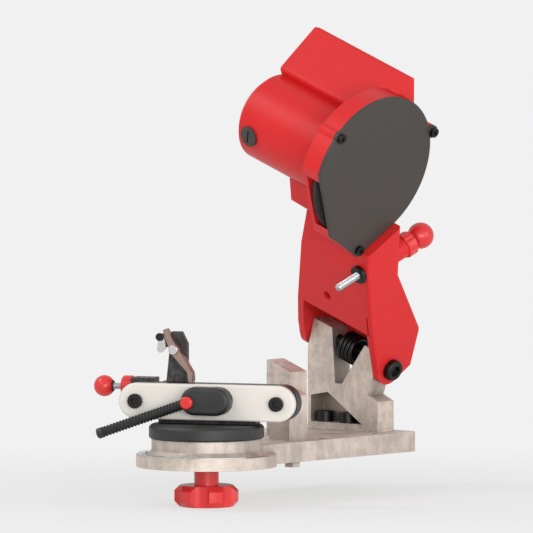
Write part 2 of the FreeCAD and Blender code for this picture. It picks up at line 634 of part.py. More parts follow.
def make_base():
    base = Piece("base_casting", "Machine")
    plate = base.sketch("XY_Plane")
    shoulder = d.boss_foot
    outline = [(d.plate_right, d.plate_back), (-d.plate_left, d.plate_back), (-d.plate_left, shoulder),
               (-shoulder, shoulder / 3), (ZERO, ZERO), (d.plate_right, shoulder / 2)]
    draw_polygon(plate, outline)
    base.pad(plate, d.plate_thick)
    base.soften(d.plate_corner, lambda edge: runs_along(edge, AXIS_Z)
                and edge.CenterOfMass.y > d.plate_back.value - 1)
    boss = base.sketch("XZ_Plane")
    draw_polygon(boss, [(0, 0), (d.boss_foot, 0), (d.boss_foot, d.boss_rim),
                        (d.boss_top + d.boss_flare, d.boss_rim), (d.boss_top, d.boss_waist),
                        (d.boss_top, d.boss_height), (0, d.boss_height)])
    base.turn(boss)
    hollow = base.sketch("XY_Plane")
    wall = d.plate_wall
    draw_polygon(hollow, [(d.plate_right - wall, d.plate_back - wall),
                          (-(d.plate_left - wall), d.plate_back - wall),
                          (-(d.plate_left - wall), d.boss_foot + wall),
                          (d.plate_right - wall, d.boss_foot + wall)])
    base.cut(hollow, d.plate_thick - wall)
    ribs = base.sketch("XY_Plane")
    for side in (-1, 1):
        level = d.bench_mid_y + side * d.bench_span_y / 2
        draw_polygon(ribs, [(-(d.plate_left - wall), level - d.plate_rib / 2),
                            (d.plate_right - wall, level - d.plate_rib / 2),
                            (d.plate_right - wall, level + d.plate_rib / 2),
                            (-(d.plate_left - wall), level + d.plate_rib / 2)])
    base.pad(ribs, d.plate_thick - wall / 2)
    under_boss = base.sketch("XZ_Plane")
    draw_polygon(under_boss, ring_profile(d.washer_radius + wall, d.boss_top - wall, ZERO,
                                          d.boss_height - 2 * wall))
    base.groove(under_boss)
    bosses = base.sketch("XY_Plane")
    for x, y in bench_holes():
        draw_circle(bosses, x, y, d.bench_boss)
    for x in bracket_bolt_places():
        draw_circle(bosses, x, bracket_bolt_y(), d.bracket_bolt_head)
    base.pad(bosses, d.plate_thick)
    tower = base.sketch("XZ_Plane", lift=-(d.tower_front + d.tower_depth))
    draw_polygon(tower, [(-d.tower_left, d.plate_thick), (-d.tower_right, d.plate_thick),
                         (-d.tower_right, slope_z(-d.tower_right, -d.tower_drop)),
                         (-d.tower_left, slope_z(-d.tower_left, -d.tower_drop))])
    base.pad(tower, d.tower_depth)
    tip_square, tip_y = depth_tip_when_down()
    anvil_top = tip_square - d.anvil_gap
    anvil_x = d.depth_x * tilt_cosine + anvil_top * tilt_sine
    left = anvil_x - d.anvil_wide / 2
    right = anvil_x + d.anvil_wide / 2
    anvil = base.sketch("XZ_Plane", lift=-(tip_y + d.anvil_deep / 2))
    draw_polygon(anvil, [(left, d.plate_thick), (right, d.plate_thick),
                         (right, slope_z(right, anvil_top)), (left, slope_z(left, anvil_top))])
    base.pad(anvil, d.anvil_deep)
    lug = base.sketch("XY_Plane")
    lug_right = d.plate_right - wall / 2
    lug_left = lug_right - d.lug_size
    draw_polygon(lug, [(lug_left, d.lug_back - d.lug_size), (lug_right, d.lug_back - d.lug_size),
                       (lug_right, d.lug_back), (lug_left, d.lug_back)])
    base.pad(lug, d.lug_drop, back=True)
    lug_foot = base.sketch("XY_Plane")
    draw_polygon(lug_foot, [(lug_left, d.lug_back - d.lug_size), (lug_right, d.lug_back - d.lug_size),
                            (lug_right, d.lug_back), (lug_left, d.lug_back)])
    base.pad(lug_foot, d.plate_thick - d.edge)
    holes = base.sketch("XY_Plane", lift=-d.lug_drop)
    for x, y in bench_holes():
        draw_circle(holes, x, y, d.bench_hole)
    draw_circle(holes, 0, 0, d.stud_radius + d.fit_gap)
    base.cut(holes, d.boss_height + 2 * d.lug_drop)
    bolts = base.sketch("XY_Plane")
    for x in bracket_bolt_places():
        draw_circle(bolts, x, bracket_bolt_y(), d.bracket_bolt + d.fit_gap)
    base.cut(bolts, d.plate_thick)


def bench_holes():
    return [(bolts_mid_x + side * d.bench_span_x / 2, d.bench_mid_y + end * d.bench_span_y / 2)
            for side in (-1, 1) for end in (-1, 1)]


def bracket_bolt_places():
    return [-d.bracket_bolt_first + index * d.bracket_bolt_step for index in range(2)]


def bracket_front():
    return d.axle_back - d.bracket_depth / 2


def bracket_bolt_y():
    return bracket_front() + d.bracket_bolt_head + d.edge


def slope_z(x, square):
    """Height at x of a face square to the wheel's plane, at a distance from the chain point."""
    return d.chain_height + (square - x * tilt_sine) / tilt_cosine


def depth_tip_when_down():
    """The depth screw's tip with the head down: its distance square to the axle, and its Y."""
    down = d.lean + d.swing
    square = d.axle_rise + d.depth_z * cosine(down) - d.depth_tip * sine(down)
    return square, d.axle_back - (d.depth_z * sine(down) + d.depth_tip * cosine(down))


def make_bracket():
    bracket = Piece("pivot_bracket", "Machine")
    crest = d.axle_rise + d.bracket_crest
    low = d.axle_rise - d.shoulder_drop
    left_low_square = d.axle_rise - d.ear_radius - d.edge
    left_low_z = tilted(-d.cheek_left, left_low_square)[1]
    corners = [(-d.bracket_left, d.plate_thick), (d.bracket_right, d.plate_thick),
               (d.bracket_right, d.shoulder_z), tilted(d.cheek_right, low),
               tilted(d.cheek_right, crest), tilted(-d.upright_inner, crest),
               (-d.notch_x + d.notch_wide / 2, d.notch_z), (-d.notch_x - d.notch_wide / 2, d.notch_z),
               tilted(-d.column_inner, crest), tilted(-d.cheek_left, crest),
               (-d.bracket_left, left_low_z)]
    front = bracket.sketch("XZ_Plane", lift=-(bracket_front() + d.bracket_depth))
    draw_polygon(front, corners)
    bracket.pad(front, d.bracket_depth)
    arch = bracket.sketch("XZ_Plane", lift=-bracket_front())
    floor = d.plate_thick + d.foot_thick
    draw_polygon(arch, [(-(d.bracket_left - d.arch_wall), floor), (-d.arch_right_x, floor),
                        (-d.arch_peak_x, d.arch_peak_z),
                        (-(d.bracket_left - d.arch_wall), d.arch_left_z)])
    bracket.cut(arch, d.bracket_depth - d.bracket_web, back=True)
    bore = bracket.sketch("YZ_Plane", lift=axle_x, across=d.axle_back, rise=axle_z,
                          turn=(AXIS_X, d.tilt))
    draw_circle(bore, 0, 0, d.axle_radius + d.fit_gap)
    bracket.cut(bore, 3 * d.cheek_left, both=True)
    bolts = bracket.sketch("XY_Plane", lift=d.plate_thick)
    for x in bracket_bolt_places():
        draw_circle(bolts, x, bracket_bolt_y(), d.bracket_bolt + d.fit_gap)
    bracket.cut(bolts, d.foot_thick)

    screws = Piece("bracket_bolts", "Machine")
    seat = d.plate_thick + d.foot_thick
    heads = screws.sketch("XY_Plane", lift=seat)
    shanks = screws.sketch("XY_Plane", lift=seat)
    sockets = screws.sketch("XY_Plane", lift=seat + d.bracket_bolt_tall)
    for x in bracket_bolt_places():
        draw_circle(heads, x, bracket_bolt_y(), d.bracket_bolt_head)
        draw_circle(shanks, x, bracket_bolt_y(), d.bracket_bolt)
        draw_hexagon(sockets, d.bracket_bolt - d.edge, x, bracket_bolt_y())
    allow_groups(screws)
    screws.pad(heads, d.bracket_bolt_tall)
    screws.pad(shanks, seat - d.edge, back=True)
    screws.cut(sockets, d.bracket_bolt_tall / 2, back=True)


def allow_groups(piece):
    """Let one node hold several separate solids, as for identical fasteners."""
    piece.body.AllowCompound = True


# ---------------------------------------------------------------- axle


def make_axle():
    head_seat = d.arm_right + d.slip_gap
    nut_seat = -(d.arm_left + d.slip_gap)
    nut_thick = d.bolt_head_thick
    axle = turned("axle_bolt", "Axle", [
        (0, nut_seat - nut_thick - 2 * d.edge), (d.axle_radius, nut_seat - nut_thick - 2 * d.edge),
        (d.axle_radius, head_seat), (d.bolt_head_radius, head_seat),
        (d.bolt_head_radius, head_seat + d.bolt_head_thick - d.edge),
        (d.bolt_head_radius - d.edge, head_seat + d.bolt_head_thick), (0, head_seat + d.bolt_head_thick)])
    socket = axle.sketch("XY_Plane", lift=head_seat + d.bolt_head_thick)
    draw_hexagon(socket, d.axle_radius - d.edge)
    axle.cut(socket, d.bolt_head_thick / 2, back=True)

    nut = Piece("axle_nut", "Axle")
    outline = nut.sketch("XY_Plane", lift=nut_seat)
    draw_hexagon(outline, d.axle_nut_flat)
    draw_circle(outline, 0, 0, d.axle_radius + d.fit_gap)
    nut.pad(outline, nut_thick, back=True)

    bushes = Piece("pivot_bushes", "Axle")
    allow_groups(bushes)
    for low in (-d.arm_left, d.arm_right - d.ear_thick):
        outline = bushes.sketch("XY_Plane", lift=low)
        draw_circle(outline, 0, 0, d.axle_radius + d.fit_gap)
        draw_circle(outline, 0, 0, d.axle_radius + d.bush_wall)
        bushes.pad(outline, d.ear_thick)

    spring = Piece("return_spring", "Axle")
    spiral(spring, d.spring_coil, d.spring_wire, -d.spring_left, d.spring_pitch, d.spring_long)


# ---------------------------------------------------------------- arm and shroud


def arm_section():
    """Side view of the arm from the ears up into the cradle, as Y and Z of the head's frame."""
    top = d.arm_length - d.motor_radius / 4
    slope_top = d.neck_z + d.cradle_rise
    return [(-d.arm_front, d.arm_apron), (-d.arm_front, d.depth_z), (-d.neck_front, d.neck_z),
            (-d.cradle_front, slope_top), (-d.cradle_front, top), (d.cradle_back, top),
            (d.cradle_back, slope_top), (d.neck_back, d.neck_z), (d.arm_waist_y, d.arm_waist_z),
            (d.heel_y, d.heel_z), (d.sole_y, -d.sole_z),
            (d.ear_radius * sine(d.sole_angle), -(d.ear_radius * cosine(d.sole_angle))),
            (-d.ear_radius, ZERO)]


def arm_left_at(height):
    """The arm's left face at a height above the axle: it narrows from the ears to the neck."""
    slope = (d.arm_left - d.neck_left) / (d.neck_z - d.ear_radius)
    return (height - d.ear_radius) * slope - d.arm_left


def make_arm():
    arm = Piece("arm_body", "Head")
    side = arm.sketch("YZ_Plane", lift=-d.arm_left)
    draw_polygon(side, arm_section())
    arm.pad(side, d.arm_left + d.arm_right)
    arm.soften(d.arm_round, lambda edge: lies_at(edge, AXIS_X, d.arm_right.value)
               and edge.CenterOfMass.z > d.heel_z.value)
    ears = arm.sketch("YZ_Plane", lift=-d.arm_left)
    draw_circle(ears, 0, 0, d.ear_radius)
    arm.pad(ears, d.arm_left + d.arm_right)
    deep = 3 * d.heel_y
    taper = arm.sketch("XZ_Plane")
    beyond = -2 * d.arm_left
    draw_polygon(taper, [(beyond, d.ear_radius), (-d.arm_left, d.ear_radius), (-d.neck_left, d.neck_z),
                         (-d.cradle_left, d.neck_z + d.cradle_rise), (-d.cradle_left, d.arm_length),
                         (beyond, d.arm_length)])
    arm.cut(taper, deep, both=True)
    fork = arm.sketch("XZ_Plane")
    inner = d.arm_right - d.ear_thick
    draw_polygon(fork, [(d.ear_thick - d.arm_left, -2 * d.ear_radius), (inner, -2 * d.ear_radius),
                        (inner, d.arm_apron), (arm_left_at(d.arm_apron) + d.ear_thick, d.arm_apron),
                        (d.ear_thick - d.arm_left, d.ear_radius)])
    arm.cut(fork, deep, both=True)
    skirt = arm.sketch("YZ_Plane", lift=d.ear_thick - d.arm_left)
    above = d.arm_apron + d.edge
    back = d.heel_y - (above - d.heel_z) * (d.heel_y - d.arm_waist_y) / (d.arm_waist_z - d.heel_z)
    draw_polygon(skirt, [(back, above), (d.heel_y, d.heel_z), (d.sole_y, -d.sole_z),
                         (d.sole_y - d.skirt_wall, -d.sole_z), (d.heel_y - d.skirt_wall, d.heel_z),
                         (back - d.skirt_wall, above)])
    arm.pad(skirt, d.arm_left + d.arm_right - 2 * d.ear_thick)
    hollow = arm.sketch("XZ_Plane")
    roof = d.neck_z - 3 * d.arm_wall
    wall = d.arm_wall
    draw_polygon(hollow, [(arm_left_at(d.arm_apron) + d.ear_thick, d.arm_apron - d.edge),
                          (d.arm_right - wall, d.arm_apron - d.edge), (d.arm_right - wall, roof),
                          (arm_left_at(roof) + wall, roof)])
    arm.cut(hollow, 2 * (d.arm_front - wall), both=True)
    fit_shroud(arm)
    bore = arm.sketch("YZ_Plane", lift=-2 * d.arm_left)
    draw_circle(bore, 0, 0, d.axle_radius + d.bush_wall + d.fit_gap)
    arm.cut(bore, 4 * d.arm_left)
    boss = arm.sketch("XZ_Plane", across=d.depth_x, rise=d.depth_z, lift=-d.depth_seat)
    draw_circle(boss, 0, 0, d.depth_insert + d.insert_wall)
    arm.pad(boss, d.depth_seat - d.arm_waist_y + wall)
    holes = arm.sketch("XZ_Plane", lift=-2 * d.depth_seat)
    draw_circle(holes, d.depth_x, d.depth_z, d.depth_insert + d.fit_gap)
    arm.cut(holes, 4 * d.depth_seat)
    front = arm.sketch("XZ_Plane")
    draw_circle(front, -d.peep_x, d.peep_z, d.peep_radius)
    slit_right = d.slit_x + d.slit_wide / 2
    slit_left = d.slit_x - d.slit_wide / 2
    draw_polygon(front, [(slit_left, d.arm_apron - d.edge), (slit_right, d.arm_apron - d.edge),
                         (slit_right, d.slit_top), (slit_left, d.slit_top)])
    arm.cut(front, 2 * d.arm_front)


def fit_shroud(arm):
    """Clear the arm for the motor's tube, the round shroud and its pointed end."""
    seat = arm.sketch("YZ_Plane", lift=-2 * d.arm_left, across=d.wheel_setback, rise=d.arm_length)
    draw_circle(seat, 0, 0, d.motor_radius + d.slip_gap)
    arm.cut(seat, 4 * d.arm_left)
    left = -d.shroud_left - d.slip_gap
    clear = arm.sketch("YZ_Plane", lift=left, across=d.wheel_setback, rise=d.arm_length)
    draw_circle(clear, 0, 0, d.guard_radius + 2 * d.slip_gap)
    arm.cut(clear, 2 * d.arm_left)
    tip_clear = arm.sketch("YZ_Plane", lift=left, across=d.wheel_setback, rise=d.arm_length)
    draw_polygon(tip_clear, tip_wedge(3 * d.slip_gap))
    arm.cut(tip_clear, 2 * d.arm_left)


def tip_wedge(grow):
    """The guard's pointed end, whose rear flank is tangent to the round, as Y and Z from the wheel."""
    reach = d.guard_tip + grow
    spread = arc_cosine(d.guard_radius / d.guard_tip)
    return [(ZERO, ZERO), guard_point(d.guard_radius + grow, d.guard_tip_angle - d.tip_flank),
            guard_point(reach, d.guard_tip_angle),
            guard_point(d.guard_radius + grow, d.guard_tip_angle + spread)]


def guard_outline(piece, low, thick):
    """The teardrop that the shroud and the cover share, with its lugs, before the open edge."""
    allow_groups(piece)
    disc = piece.sketch("YZ_Plane", lift=low)
    draw_circle(disc, 0, 0, d.guard_radius)
    piece.pad(disc, thick)
    wedge = piece.sketch("YZ_Plane", lift=low)
    draw_polygon(wedge, tip_wedge(ZERO))
    piece.pad(wedge, thick)
    for distance, angle in ((d.lug_front_at, d.lug_front_angle), (d.lug_rear_at, d.lug_rear_angle)):
        lug = piece.sketch("YZ_Plane", lift=low)
        draw_circle(lug, *guard_point(distance, angle), d.lug_radius)
        piece.pad(lug, thick)


def open_edge(piece, low, thick):
    """Cut the guard straight across where the wheel meets the chain."""
    angle = d.guard_flat_angle
    reach = 2 * d.guard_radius
    across = (cosine(angle), sine(angle))

    def point(out, along):
        y, z = guard_point(out, angle)
        return y + along * across[0], z + along * across[1]

    edge = piece.sketch("YZ_Plane", lift=low)
    draw_polygon(edge, [point(d.guard_flat, -reach), point(reach, -reach), point(reach, reach),
                        point(d.guard_flat, reach)])
    piece.cut(edge, thick)


def make_shroud():
    shroud = Piece("wheel_shroud", "Spindle")
    low = -d.shroud_left
    deep = d.shroud_left + d.shroud_right
    guard_outline(shroud, low, deep)
    room = shroud.sketch("YZ_Plane", lift=low + d.shroud_back)
    draw_circle(room, 0, 0, d.guard_radius - d.guard_wall)
    shroud.cut(room, deep)
    open_edge(shroud, low, deep)
    centre = shroud.sketch("YZ_Plane", lift=low)
    draw_circle(centre, 0, 0, d.bearing_radius + d.slip_gap)
    shroud.cut(centre, deep)
    holes = shroud.sketch("YZ_Plane", lift=low)
    for y, z in cover_screw_places():
        draw_circle(holes, y, z, d.cover_screw + d.fit_gap)
    for y, z in housing_screw_places():
        draw_circle(holes, y, z, d.cover_screw + d.fit_gap)
    shroud.cut(holes, deep)

    cover = Piece("guard_cover", "Spindle")
    guard_outline(cover, d.shroud_right, d.cover_thick)
    open_edge(cover, d.shroud_right, d.cover_thick)
    holes = cover.sketch("YZ_Plane", lift=d.shroud_right)
    for y, z in cover_screw_places():
        draw_circle(holes, y, z, d.cover_screw + d.fit_gap)
    cover.cut(holes, d.cover_thick)

    screws = Piece("guard_screws", "Spindle")
    allow_groups(screws)
    face = d.shroud_right + d.cover_thick
    heads = screws.sketch("YZ_Plane", lift=face)
    shanks = screws.sketch("YZ_Plane", lift=face)
    for y, z in cover_screw_places():
        draw_circle(heads, y, z, d.cover_screw_head)
        draw_circle(shanks, y, z, d.cover_screw)
    screws.pad(heads, d.cover_screw + d.edge)
    screws.pad(shanks, face + d.shroud_left - d.edge, back=True)

    fixings = Piece("housing_screws", "Spindle")
    allow_groups(fixings)
    seat = low + d.shroud_back
    heads = fixings.sketch("YZ_Plane", lift=seat)
    shanks = fixings.sketch("YZ_Plane", lift=seat)
    for y, z in housing_screw_places():
        draw_circle(heads, y, z, d.cover_screw_head)
        draw_circle(shanks, y, z, d.cover_screw)
    fixings.pad(heads, d.cover_screw)
    fixings.pad(shanks, d.shroud_back + 3 * d.motor_wall, back=True)


def cover_screw_places():
    return [guard_point(d.lug_front_at, d.lug_front_angle), guard_point(d.lug_tip_at, d.guard_tip_angle),
            guard_point(d.lug_rear_at, d.lug_rear_angle)]


def housing_screw_places():
    return [guard_point(d.housing_ring, (2 * index + 1) * QUARTER / 2) for index in range(4)]


# ---------------------------------------------------------------- motor


def make_motor_housing():
    front = -(d.shroud_left + d.slip_gap)
    inner = d.motor_radius - d.motor_wall
    nose = d.front_bearing_at + 2 * d.edge
    housing = turned("motor_housing", "Shaft", [
        (inner, -d.motor_left), (d.motor_radius, -d.motor_left), (d.motor_radius, front),
        (d.shaft_radius + 2 * d.edge, front),
        (d.shaft_radius + 2 * d.edge, -(d.front_bearing_at - d.bearing_wide)),
        (d.bearing_radius + d.fit_gap, -(d.front_bearing_at - d.bearing_wide)),
        (d.bearing_radius + d.fit_gap, -nose), (d.bearing_radius + 2 * d.motor_wall, -nose),
        (inner, -(nose - d.motor_wall - d.edge))])
    ports = housing.sketch("XY_Plane", lift=-d.motor_left)
    for y, z in housing_screw_places():
        draw_circle(ports, -z, y, d.cover_screw + d.fit_gap)
    housing.cut(ports, d.motor_left)
    brush_ports = housing.sketch("XZ_Plane", rise=-d.brush_at, turn=(AXIS_Y, -d.brush_turn))
    draw_circle(brush_ports, 0, 0, d.brush_radius + 1 + d.fit_gap)
    housing.cut(brush_ports, 3 * d.motor_radius, both=True)

    back = -d.motor_left
    end = back - d.motor_cap
    cap = turned("motor_end_cap", "Shaft", [
        (0, end), (d.motor_radius - d.motor_cap_round, end), (d.motor_radius, end + d.motor_cap_round),
        (d.motor_radius, back), (d.bearing_radius + d.fit_gap, back),
        (d.bearing_radius + d.fit_gap, back - d.motor_cap / 2), (0, back - d.motor_cap / 2)])
    cap.soften(2 * d.edge, lambda edge: lies_at(edge, AXIS_Z, (end + d.motor_cap_round).value)
               or lies_at(edge, AXIS_Z, end.value))

    vent = cap.sketch("XY_Plane", lift=end)
    half = d.vent_wide / 2
    draw_polygon(vent, [(d.vent_inner, -half), (d.vent_outer, -half), (d.vent_outer, half),
                        (d.vent_inner, half)])
    first = cap.cut(vent, d.motor_cap)
    cap.ring_of(first, d.vent_count)

    for label, low in (("rear_bearing", back - d.motor_cap / 2), ("front_bearing", -d.front_bearing_at)):
        bearing = turned(label, "Shaft", ring_profile(d.shaft_radius, d.bearing_radius, low,
                                                      low + d.bearing_wide))
        track = bearing.sketch("XZ_Plane")
        third = (d.bearing_radius - d.shaft_radius) / 3
        draw_polygon(track, ring_profile(d.shaft_radius + third, d.bearing_radius - third,
                                         low + d.bearing_wide - d.edge, low + d.bearing_wide))
        bearing.groove(track)

    make_stator(inner)
    make_brushes()


def make_stator(inner):
    low = -d.core_left
    high = low + d.core_long
    bore = d.rotor_radius + d.air_gap
    core = turned("stator_core", "Shaft", ring_profile(bore, inner - d.fit_gap, low, high))
    waist = core.sketch("XY_Plane", lift=low)
    near = bore + d.edge
    far = inner - 4 * d.edge
    for side in (-1, 1):
        draw_polygon(waist, [(-bore / 2, side * near), (bore / 2, side * near), (bore / 2, side * far),
                             (-bore / 2, side * far)])
    core.cut(waist, d.core_long)

    coils = Piece("stator_coils", "Shaft")
    allow_groups(coils)
    for start in (low - d.coil_long - d.slip_gap, high + d.slip_gap):
        outline = coils.sketch("XY_Plane", lift=start)
        draw_circle(outline, 0, 0, bore + d.edge)
        draw_circle(outline, 0, 0, inner - 3 * d.edge)
        coils.pad(outline, d.coil_long)


def make_brushes():
    tube = d.brush_radius + d.edge
    low = d.commutator_radius + 2 * d.edge
    face = d.motor_radius
    holders = Piece("brush_holders", "Brushes")
    brushes = Piece("carbon_brushes", "Brushes")
    caps = Piece("brush_caps", "Brushes")
    for piece in (holders, brushes, caps):
        allow_groups(piece)
    for side in (-1, 1):
        back = side > 0
        outline = holders.sketch("XZ_Plane", lift=-side * low)
        draw_circle(outline, 0, 0, tube)
        draw_circle(outline, 0, 0, d.brush_radius)
        holders.pad(outline, face - low, back=back)
        carbon = brushes.sketch("XZ_Plane", lift=-side * (d.commutator_radius + 2 * d.fit_gap))
        draw_circle(carbon, 0, 0, d.brush_radius - d.fit_gap)
        brushes.pad(carbon, 3 * d.brush_radius, back=back)
        knob = caps.sketch("XZ_Plane", lift=-side * face)
        draw_circle(knob, 0, 0, d.brush_cap_radius)
        caps.pad(knob, d.brush_radius / 2, back=back)
        plug = caps.sketch("XZ_Plane", lift=-side * face)
        draw_circle(plug, 0, 0, d.brush_radius - d.fit_gap)
        caps.pad(plug, d.brush_radius, back=not back)


def make_spindle():
    low = -(d.motor_left + d.motor_cap / 2)
    wheel_low = -d.wheel_thick / 2
    wheel_high = d.wheel_thick / 2
    nut_low = wheel_high + d.flange_thick
    thread = d.shaft_radius - d.edge
    turned("motor_shaft", "Shaft", [
        (0, low + d.edge), (d.shaft_radius - d.fit_gap, low + d.edge),
        (d.shaft_radius - d.fit_gap, wheel_low), (thread, wheel_low),
        (thread, d.shroud_right - d.slip_gap), (0, d.shroud_right - d.slip_gap)])
    core_low = -d.core_left
    core = turned("rotor_core", "Shaft", ring_profile(d.shaft_radius, d.rotor_radius, core_low,
                                                      core_low + d.core_long))
    slot = core.sketch("XY_Plane", lift=core_low)
    bottom = d.rotor_radius - d.slot_deep
    mouth = d.rotor_radius + d.edge
    draw_polygon(slot, [(bottom, -d.edge), (mouth, -d.edge), (mouth, d.edge), (bottom, d.edge)])
    first = core.cut(slot, d.core_long)
    core.ring_of(first, d.rotor_slots)
    turned("commutator", "Shaft", ring_profile(d.shaft_radius, d.commutator_radius, -d.commutator_left,
                                               d.commutator_long - d.commutator_left))

    hub = d.shaft_radius + d.fan_hub
    rim = d.motor_radius - d.motor_wall - d.fan_clear
    fan = turned("cooling_fan", "Shaft", [
        (d.shaft_radius, -d.fan_left), (rim, -d.fan_left),
        (rim, d.fan_disc - d.fan_left), (hub, d.fan_disc - d.fan_left),
        (hub, d.fan_long - d.fan_left),
        (d.shaft_radius, d.fan_long - d.fan_left)])
    blade = fan.sketch("XY_Plane", lift=d.edge - d.fan_left)
    draw_polygon(blade, [(hub + d.edge, -d.edge), (rim, -d.edge), (rim, d.edge),
                         (hub + d.edge, d.edge)])
    first = fan.pad(blade, d.fan_long - d.edge)
    fan.ring_of(first, d.fan_blades)

    flange_back = wheel_low - d.flange_thick - d.edge
    turned("inner_flange", "Shaft", [
        (d.shaft_radius, flange_back), (d.flange_radius - d.flange_slope, flange_back),
        (d.flange_radius, wheel_low - d.edge), (d.flange_radius, wheel_low),
        (d.wheel_bore - d.fit_gap, wheel_low), (d.wheel_bore - d.fit_gap, wheel_high - d.edge),
        (d.shaft_radius, wheel_high - d.edge)])
    wheel = turned("grinding_wheel", "Shaft", ring_profile(d.wheel_bore, d.wheel_radius, wheel_low,
                                                           wheel_high))
    wheel.soften(d.wheel_edge, kind="Chamfer",
                 wanted=lambda edge: edge.BoundBox.XMax > d.wheel_radius.value - 1
                 and edge.Curve.TypeId == "Part::GeomCircle")
    turned("outer_flange", "Shaft", ring_profile(thread + d.fit_gap, d.flange_radius, wheel_high,
                                                 nut_low - d.edge))
    nut = Piece("spindle_nut", "Shaft")
    outline = nut.sketch("XY_Plane", lift=nut_low - d.edge)
    draw_hexagon(outline, d.spindle_nut_flat)
    draw_circle(outline, 0, 0, thread + d.fit_gap)
    nut.pad(outline, d.shroud_right - nut_low + 1 - d.slip_gap)


# ---------------------------------------------------------------- switch box


def box_section(inset):
    """Side view of the switch box as Y and Z from the wheel centre, drawn in by an inset."""
    return [(d.box_front + inset, d.motor_radius - 4 * d.edge + inset),
            (d.box_edge + inset, d.box_edge_z - inset),
            (d.box_back - inset, d.box_back_z - 1.4 * inset), (d.box_heel - inset, d.box_heel_z + inset),
            (d.motor_radius - 6 * d.edge, d.box_heel_z + inset)]


def make_switch_box():
    box = Piece("switch_box", "Spindle")
    left = -d.box_left
    long = d.box_left + d.box_right
    side = box.sketch("YZ_Plane", lift=left)
    draw_polygon(side, box_section(ZERO))
    box.pad(side, long)
    box.soften(d.box_round, lambda edge: runs_along(edge, AXIS_X)
               and edge.CenterOfMass.z > d.box_edge_z.value - 1)
    room = box.sketch("YZ_Plane", lift=left)
    draw_polygon(room, box_section(d.box_wall))
    box.cut(room, d.box_left - d.shroud_left - d.box_wall)
    seat = box.sketch("YZ_Plane", lift=left - d.edge)
    draw_circle(seat, 0, 0, d.motor_radius + d.fit_gap)
    box.cut(seat, long + 2 * d.edge)
    clear = box.sketch("YZ_Plane", lift=-d.shroud_left - d.slip_gap)
    draw_circle(clear, 0, 0, d.guard_radius + d.slip_gap)
    box.cut(clear, long)
    inlet = box.sketch("XY_Plane", lift=d.box_heel_z)
    draw_circle(inlet, -d.gland_at, d.gland_y, d.gland_bore + d.edge)
    box.cut(inlet, 2 * d.box_wall)

    plate = Piece("switch_plate", "Spindle")
    side = plate.sketch("YZ_Plane", lift=left)
    draw_polygon(side, box_section(d.slip_gap))
    plate.pad(side, d.box_wall, back=True)
    plate.soften(d.box_round, lambda edge: runs_along(edge, AXIS_X)
                 and edge.CenterOfMass.z > d.box_edge_z.value - 1)
    seat = plate.sketch("YZ_Plane", lift=left)
    draw_circle(seat, 0, 0, d.motor_radius + d.slip_gap)
    plate.cut(seat, d.box_wall, back=True)
    hole = plate.sketch("YZ_Plane", lift=left)
    draw_switch(hole, ZERO)
    plate.cut(hole, d.box_wall, back=True)

    bezel = Piece("switch_bezel", "Spindle")
    rim = bezel.sketch("YZ_Plane", lift=left - d.box_wall)
    draw_switch(rim, d.switch_rim)
    draw_switch(rim, ZERO)
    bezel.pad(rim, d.switch_thick, back=True)

    rocker = Piece("rocker_button", "Rocker")
    half = d.switch_wide / 2 - 2 * d.slip_gap
    outline = rocker.sketch("YZ_Plane")
    sink = d.switch_thick + d.box_wall
    draw_polygon(outline, [(-half, ZERO), (-half + sink / 4, -sink), (half - sink / 4, -sink),
                           (half, ZERO), (half, 1), (ZERO, ZERO), (-half, 1)])
    rocker.pad(outline, d.switch_tall - 2 * d.slip_gap, both=True)

    gland = Piece("cable_gland", "Spindle")
    foot = d.box_heel_z
    outer = gland.sketch("XY_Plane", lift=foot)
    draw_circle(outer, -d.gland_at, d.gland_y, d.gland_radius)
    draw_circle(outer, -d.gland_at, d.gland_y, d.gland_bore)
    gland.pad(outer, d.gland_long / 3, back=True)
    sleeve = gland.sketch("XY_Plane", lift=foot)
    draw_circle(sleeve, -d.gland_at, d.gland_y, d.gland_bore + d.edge)
    draw_circle(sleeve, -d.gland_at, d.gland_y, d.gland_bore)
    gland.pad(sleeve, d.gland_long, back=True)


def draw_switch(sketch, grow):
    """The rocker's opening, or the bezel's outline, in a Y and Z sketch."""
    across = d.switch_wide / 2 + grow
    rise = d.switch_tall / 2 + grow
    draw_polygon(sketch, [(d.switch_y - across, d.switch_z - rise), (d.switch_y + across, d.switch_z - rise),
                          (d.switch_y + across, d.switch_z + rise),
                          (d.switch_y - across, d.switch_z + rise)])


# ---------------------------------------------------------------- depth stop


def ball_profile(radius, centre, bore, depth, mouth):
    """Half of a ball with a recess and a bore in its upper side, in straight edges round the outside."""
    steps = 8
    end = 90 - math.degrees(math.asin((mouth / radius).value))
    angles = [(end + QUARTER) * step / steps - QUARTER for step in range(1, steps)]
    points = [(ZERO, centre - radius)]
    points += [(radius * cosine(angle), centre + radius * sine(angle)) for angle in angles]
    top = centre + radius * cosine(90 - end)
    floor = top - d.ball_recess
    bottom = centre + radius - depth
    return points + [(mouth, top), (mouth - d.edge / 2, top), (mouth - d.edge / 2, floor), (bore, floor),
                     (bore, bottom), (ZERO, bottom)]


